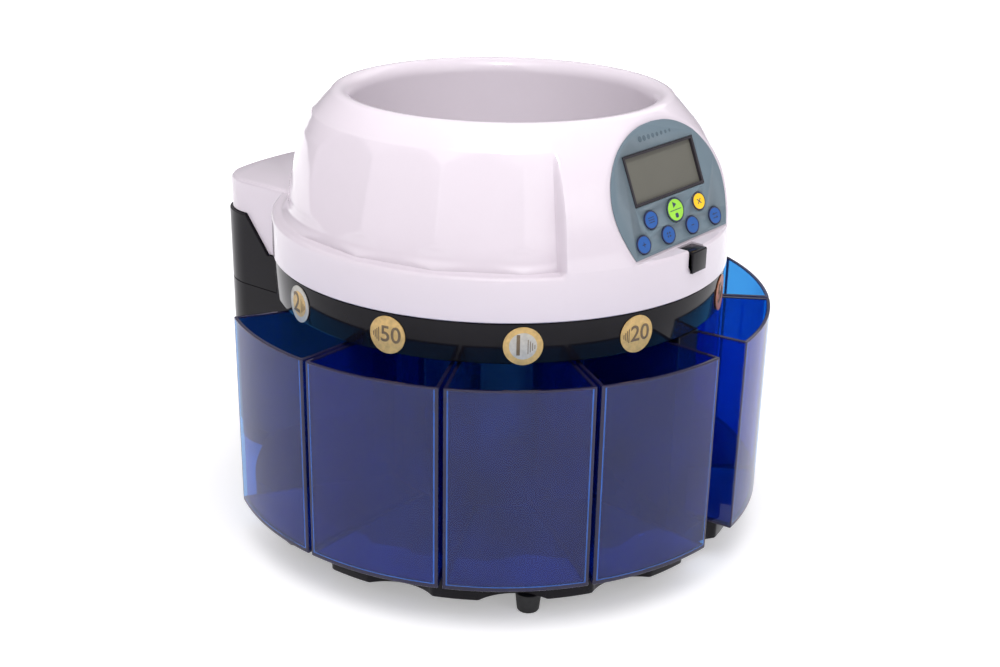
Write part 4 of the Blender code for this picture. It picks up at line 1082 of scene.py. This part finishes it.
def front_pillar():
    """Hollow post between the two front cups."""
    def wedge(name, inner, outer, half, low, high, edge):
        arc = [flat(outer, half - 2 * half * k / 12) for k in range(13)]
        back = [flat(inner, -half), flat(inner, half)]
        radii = [edge] + [0.0] * 11 + [edge, 0.0, 0.0]
        return prism(name, rounded(arc + back, radii, 3), low, high, None, edge / 2, edge / 2)

    top = DRUM_BOTTOM - GAP
    pillar = wedge("front_post", COLUMN_RADIUS + GAP, DRUM_RADIUS, 4.5, CUP_BOTTOM, top, 0.0008)
    hollow = wedge("hollow", 0.064, DRUM_RADIUS - WALL, 3.1, CUP_BOTTOM + WALL, top - WALL, 0.0)
    cut(pillar, hollow)
    shade(pillar, 30)
    place(pillar, "base", "black_abs", "front_pillar", material=BLACK)

def rear_box():
    """Lower rear box and the column under the drum, with a seam round the box."""
    column_top = DRUM_BOTTOM - GAP
    body = prism("rear_case", box_outline(0.0), CUP_BOTTOM, BOX_SPLIT, None, 0.0006, 0.0008)
    column = [(0, CUP_BOTTOM), (COLUMN_RADIUS, CUP_BOTTOM), (COLUMN_RADIUS, 0.148), (0, 0.148)]
    join(body, lathe("column", column, 120))
    inside = prism("inside", box_outline(WALL), 0.02, 0.2)
    wide = COLUMN_RADIUS - WALL
    shelf = 0.060
    shelf_top = 0.1297
    bore = [(0, 0.021), (wide, 0.021), (wide, 0.1232), (shelf, shelf_top - 0.003),
            (shelf, shelf_top), (wide, shelf_top), (wide, 0.16), (0, 0.16)]
    join(inside, lathe("bore", bore, 120))
    cut(body, inside)
    panel_hole = box("panel_hole", (-0.0343, 0.17, 0.0547), (0.0343, 0.2, 0.0853))
    cut(body, panel_hole)
    clear = DRUM_RADIUS + GAP
    space = [(0, column_top), (clear, column_top), (clear, 0.2), (0, 0.2)]
    cut(body, lathe("drum_space", space, 200))
    high = RING_BOTTOM - 2 * GAP
    slant = [(0.133, 0.150), (0.152, BOX_SPLIT), (0.152, 0.2), (0.1, 0.2), (0.1, high)]
    slant += swing_line(TAB_SWING + 2 * GAP, high, 0.150)
    cut(body, sideways("slant", slant, -0.1, 0.1))
    seam = prism("seam_out", inset(box_outline(0.0), -0.002), 0.1264, 0.1272)
    cut(seam, prism("seam_in", box_outline(0.0005), 0.12, 0.13))
    cut(body, seam)
    shade(body, 30)
    place(body, "base", "black_abs", "rear_housing", material=BLACK)


# ---------------------------------------------------------------- cups

def wedge_outline(inner, outer, margin, corner, steps=4):
    outer_half = CUP_HALF - degrees(asin(margin / outer))
    inner_half = CUP_HALF - degrees(asin(margin / inner))
    # columns split where the painted shade and the painted highlight line begin
    edges = [0.0, EDGE_SHADE_TURN, HIGHLIGHT_TURN, 1.6]
    middle = [outer_half - 1.6 - (2 * outer_half - 3.2) * k / 24 for k in range(1, 24)]
    turns = [outer_half - e for e in edges] + middle + [e - outer_half for e in edges[::-1]]
    points = [flat(outer, turn) for turn in turns]
    points += [flat(inner, -inner_half + 2 * inner_half * k / 10)
               for k in range(11)]
    radii = [corner] + [0.0] * (len(turns) - 2) + [corner, corner] + [0.0] * 9 + [corner]
    return turning(rounded(points, radii, steps))


def cup_material(middle, normal, bottom, top):
    """0 clear wall, 1 edge-on wall with painted shade, 2 painted highlight line inside it, 3 floor.
    """
    radius = sqrt(middle.x ** 2 + middle.y ** 2)
    turn = abs(degrees(atan2(-middle.x, -middle.y)))
    if middle.z > top - 0.0007 or middle.z < bottom + 0.0017 and normal.z < 0.5:
        return 1
    if normal.z > 0.5:
        return 3
    if radius > CUP_RADIUS - 0.0006:
        if turn > CUP_HALF - EDGE_SHADE_TURN or middle.z < bottom + EDGE_SHADE_HEIGHT:
            return 1
        if turn > CUP_HALF - HIGHLIGHT_TURN or middle.z < bottom + HIGHLIGHT_HEIGHT:
            return 2
    return 0


def coin_cups():
    """Eight clear wedge-shaped cups; rims, upright corners and the lower edge are seen edge-on and
    get painted shade, with a painted highlight line inside it.
    """
    bottom = CUP_BOTTOM
    top = CUP_TOP
    wall = CUP_WALL
    outer = wedge_outline(CUP_INNER_RADIUS, CUP_RADIUS, 0.0, 0.0009)
    inner = wedge_outline(CUP_INNER_RADIUS + wall, CUP_RADIUS - wall, wall, 0.0008)
    levels = edge_levels(bottom, top, 0.0007, 0.0004)
    # rows split at the tops of the painted shade and the painted highlight line
    levels[4:4] = [(0.0, bottom + 0.0018), (0.0, bottom + EDGE_SHADE_HEIGHT), (0.0, bottom + HIGHLIGHT_HEIGHT),
                   (0.0, top - 0.0010)]
    loops = [[(x, y, z) for x, y in (inset(outer, d) if d else outer)] for d, z in levels]
    for distance, z in ((-0.0003, top), (0.0, top - 0.0003), (0.0, top - 0.0010),
                        (0.0, bottom + wall + 0.0012), (0.0, bottom + wall + 0.0008),
                        (0.0003, bottom + wall + 0.0002), (0.0009, bottom + wall)):
        ring = inset(inner, distance) if distance else inner
        loops.append([(x, y, z) for x, y in ring])
    for number, azimuth in enumerate(CUP_AZIMUTHS, 1):
        cup = stacked(f"cup_{number}_shell", loops, None)
        for material in (CUP_BLUE, CUP_EDGE_SHADE, CUP_HIGHLIGHT_LINE, CUP_FLOOR):
            cup.data.materials.append(material)
        for face in cup.data.polygons:
            face.material_index = cup_material(face.center, face.normal, bottom, top)
        cup.data.transform(Matrix.Rotation(-radians(azimuth), 4, "Z"))
        place(cup, f"cup_{number}", "cup_blue", f"coin_cup_{number}")


# ---------------------------------------------------------------- coin pictures

COINS = [("2", SILVER, GOLD, "coin_silver"), ("50", GOLD, None, "coin_gold"),
         ("1", GOLD, SILVER, "coin_gold"), ("20", GOLD, None, "coin_gold"),
         ("5", COPPER, None, "coin_copper"), ("10", GOLD, None, "coin_gold"),
         ("2", COPPER, None, "coin_copper"), ("1", COPPER, None, "coin_copper")]


def wrap(obj, azimuth):
    """Bend a piece drawn flat, x to the right and y up, round the drum at coin height."""
    for vertex in obj.data.vertices:
        across, up, out = vertex.co
        turn = azimuth - degrees(across / DRUM_RADIUS)
        vertex.co = polar(DRUM_RADIUS + out, turn, COIN_HEIGHT + up)
    return obj

def disc_grid(name, radius, low, high, material, rings=5, count=48):
    """Thin disc with enough points to bend."""
    loops = [[(x, y, low) for x, y in ellipse(radius * s, radius * s, count=count)]
             for s in [(k + 1) / rings for k in range(rings)]]
    loops += [[(x, y, high) for x, y in ellipse(radius * s, radius * s, count=count)]
              for s in [1 - 0.012 * k for k in range(2)] + [(rings - k) / rings
                                                           for k in range(1, rings)]]
    return stacked(name, loops, material)


def numeral(name, text, size, material):
    """Figures as a thin solid, drawn flat and centred."""
    curve = bpy.data.curves.new(name, "FONT")
    curve.body = text
    curve.size = size
    curve.align_x = "CENTER"
    curve.align_y = "CENTER"
    curve.extrude = 0.00006
    curve.offset = 0.00012
    curve.resolution_u = 4
    holder = bpy.data.objects.new(name, curve)
    bpy.context.scene.collection.objects.link(holder)
    bpy.context.view_layer.update()
    graph = bpy.context.evaluated_depsgraph_get()
    mesh = bpy.data.meshes.new_from_object(holder.evaluated_get(graph))
    bpy.data.objects.remove(holder, do_unlink=True)
    mesh.materials.clear()
    mesh.materials.append(material)
    obj = bpy.data.objects.new(name, mesh)
    bpy.context.scene.collection.objects.link(obj)
    outward(obj)
    return obj


def coin_pictures():
    offsets = (2.0, 1.2, -1.2, 0.0, 0.0, 0.6, -0.8, 0.0)
    for number, (cup, offset, coin) in enumerate(zip(CUP_AZIMUTHS, offsets, COINS), 1):
        text, rim, centre, slot = coin
        azimuth = cup + offset
        face = disc_grid(f"coin_{number}_face", COIN_RADIUS, GAP, 2 * GAP, rim)
        place(wrap(face, azimuth), "base", slot, f"coin_label_{number}")
        edge = ring_mesh(f"coin_{number}_edge", ellipse(COIN_RADIUS, COIN_RADIUS, count=64),
                         ellipse(0.0101, 0.0101, count=64), 0.0006, 0.00075, rim)
        place(wrap(edge, azimuth), "base", slot)
        if centre is not None:
            middle = disc_grid(f"coin_{number}_centre", 0.0074, 0.0006, 0.00072, centre)
            place(wrap(middle, azimuth), "base", slot)
        single = len(text) == 1
        figures = numeral(f"coin_{number}_value", text, 0.0165 if single else 0.0128, RELIEF)
        across = -0.0026 if single else 0.0020
        figures.data.transform(Matrix.Translation((across, 0.0, 0.00080)))
        place(wrap(figures, azimuth), "base", slot)
        side = 1 if single else -1
        for k in range(4):
            away = 0.0026 + 0.0012 * k if single else 0.0052 + 0.0011 * k
            line = bar(0.0004, 0.0080 - 0.0018 * k, side * away, -0.0004)
            strip = prism(f"coin_{number}_line_{k + 1}", line, 0.0006, 0.00082, RELIEF)
            place(wrap(strip, azimuth), "base", slot)


# ---------------------------------------------------------------- inner and rear parts

def remaining_nodes():
    """Materials for the CAD nodes that stay as they are, and soft edges on the boxy ones."""
    rear = ("rear_panel", "power_inlet", "data_port", "switch_body", "power_rocker")
    for node in rear:
        recolour(node, DARK)
    for node in ("drive_frame", "drive_motor", "drive_shaft", "transformer",
                 "hinge_arm_left", "hinge_arm_right", "hinge_pin_left", "hinge_pin_right"):
        recolour(node, STEEL)
    for node in ("shaft_bearing", "motor_pinion"):
        recolour(node, BRASS)
    for node in ("control_board", "sensor_board", "main_board"):
        recolour(node, BOARD)
    recolour("drive_gear", ACETAL)
    recolour("display_module", DISC)
    recolour("key_mat", RUBBER)
    for node in rear + ("transformer", "hinge_arm_left", "hinge_arm_right", "main_board"):
        bevel = NODES[node].modifiers.new("soft edges", "BEVEL")
        bevel.width = 0.0003
        bevel.segments = 2
        bevel.limit_method = "ANGLE"
        bevel.angle_limit = radians(40)
        bevel.harden_normals = False


# ---------------------------------------------------------------- studio

def world_light():
    """White for the camera; a sky from grey to nearly white lights the object."""
    world = bpy.data.worlds.new("studio")
    bpy.context.scene.world = world
    world.use_nodes = True
    tree = world.node_tree
    tree.nodes.clear()
    add = tree.nodes.new
    link = tree.links.new
    seen = add("ShaderNodeBackground")
    seen.inputs["Color"].default_value = (1, 1, 1, 1)
    sky = add("ShaderNodeValToRGB")
    sky.color_ramp.elements[0].position = 0.02
    sky.color_ramp.elements[0].color = (0.22, 0.21, 0.23, 1)
    sky.color_ramp.elements[1].position = 0.75
    sky.color_ramp.elements[1].color = (0.86, 0.84, 0.87, 1)
    split = add("ShaderNodeSeparateXYZ")
    link(add("ShaderNodeTexCoord").outputs["Generated"], split.inputs["Vector"])
    link(split.outputs["Z"], sky.inputs["Fac"])
    lit = add("ShaderNodeBackground")
    link(sky.outputs["Color"], lit.inputs["Color"])
    mix = add("ShaderNodeMixShader")
    link(add("ShaderNodeLightPath").outputs["Is Camera Ray"], mix.inputs["Fac"])
    link(lit.outputs[0], mix.inputs[1])
    link(seen.outputs[0], mix.inputs[2])
    link(mix.outputs[0], add("ShaderNodeOutputWorld").inputs["Surface"])

def hang(name, data, aim_z, azimuth, elevation, distance):
    """Put a lamp in a direction seen from a point on the axis, turned towards it."""
    away = polar(cos(radians(elevation)), azimuth, sin(radians(elevation)))
    obj = bpy.data.objects.new(name, data)
    obj.location = Vector((0, AXIS_Y, aim_z)) + away * distance
    obj.rotation_euler = (-away).to_track_quat("-Z", "Y").to_euler()
    bpy.context.scene.collection.objects.link(obj)

def softbox(name, azimuth, elevation, distance, width, height, power):
    data = bpy.data.lights.new(name, "AREA")
    data.energy = power
    data.shape = "RECTANGLE"
    data.size = width
    data.size_y = height
    hang(name, data, 0.2, azimuth, elevation, distance)

def lights():
    """Four softboxes, and a narrow lamp that reaches into the hopper."""
    softbox("key", 8.5, 27, 1.8, 0.98, 1.0, 3.5)
    softbox("fill", 85, 27, 1.8, 0.80, 1.0, 2.3)
    softbox("right", -95, 35, 1.9, 0.9, 0.9, 2.6)
    softbox("top", 52, 66, 1.9, 1.2, 1.2, 12.0)
    data = bpy.data.lights.new("bowl", "SPOT")
    data.energy = 50
    data.spot_size = radians(11)
    data.spot_blend = 0.35
    data.shadow_soft_size = 0.08
    hang("bowl", data, 0.235, 52, 62, 1.2)

def stage_floor():
    floor = mesh_object("floor", [(-6, -6, 0), (6, -6, 0), (6, 6, 0), (-6, 6, 0)],
                        [(0, 1, 2, 3)], floor_paper())

def render_settings():
    scene = bpy.context.scene
    scene.view_settings.view_transform = "Standard"
    scene.cycles.transparent_max_bounces = 24
    scene.cycles.max_bounces = 14
    scene.cycles.diffuse_bounces = 4

def camera():
    """Camera at the front left of the machine, looking slightly down."""
    position = Vector((-0.6531, -0.5071 + AXIS_Y, 0.4301))
    data = bpy.data.cameras.new("camera")
    data.lens = 51.046
    data.sensor_width = 36.0
    data.clip_start = 0.01
    obj = bpy.data.objects.new("camera", data)
    bpy.context.scene.collection.objects.link(obj)
    forward = Vector((0.7376, 0.5711, -0.3603)).normalized()
    level = Vector((0.6122, -0.7907, 0)).normalized()
    up = level.cross(forward).normalized()
    roll = radians(1.139)
    right = level * cos(roll) + up * sin(roll)
    up = right.cross(forward)
    turn = Matrix((right, up, -forward)).transposed()
    obj.matrix_world = Matrix.Translation(position) @ turn.to_4x4()
    bpy.context.scene.camera = obj


world_light()
lights()
stage_floor()
render_settings()
camera()
top_cover()
panel_print()
panel_display()
panel_keys()
cover_latch()
drum()
sorting_rail()
sorting_disc()
disc_hub()
base_plate()
feet()
front_pillar()
rear_box()
coin_cups()
coin_pictures()
remaining_nodes()

bpy.context.view_layer.update()
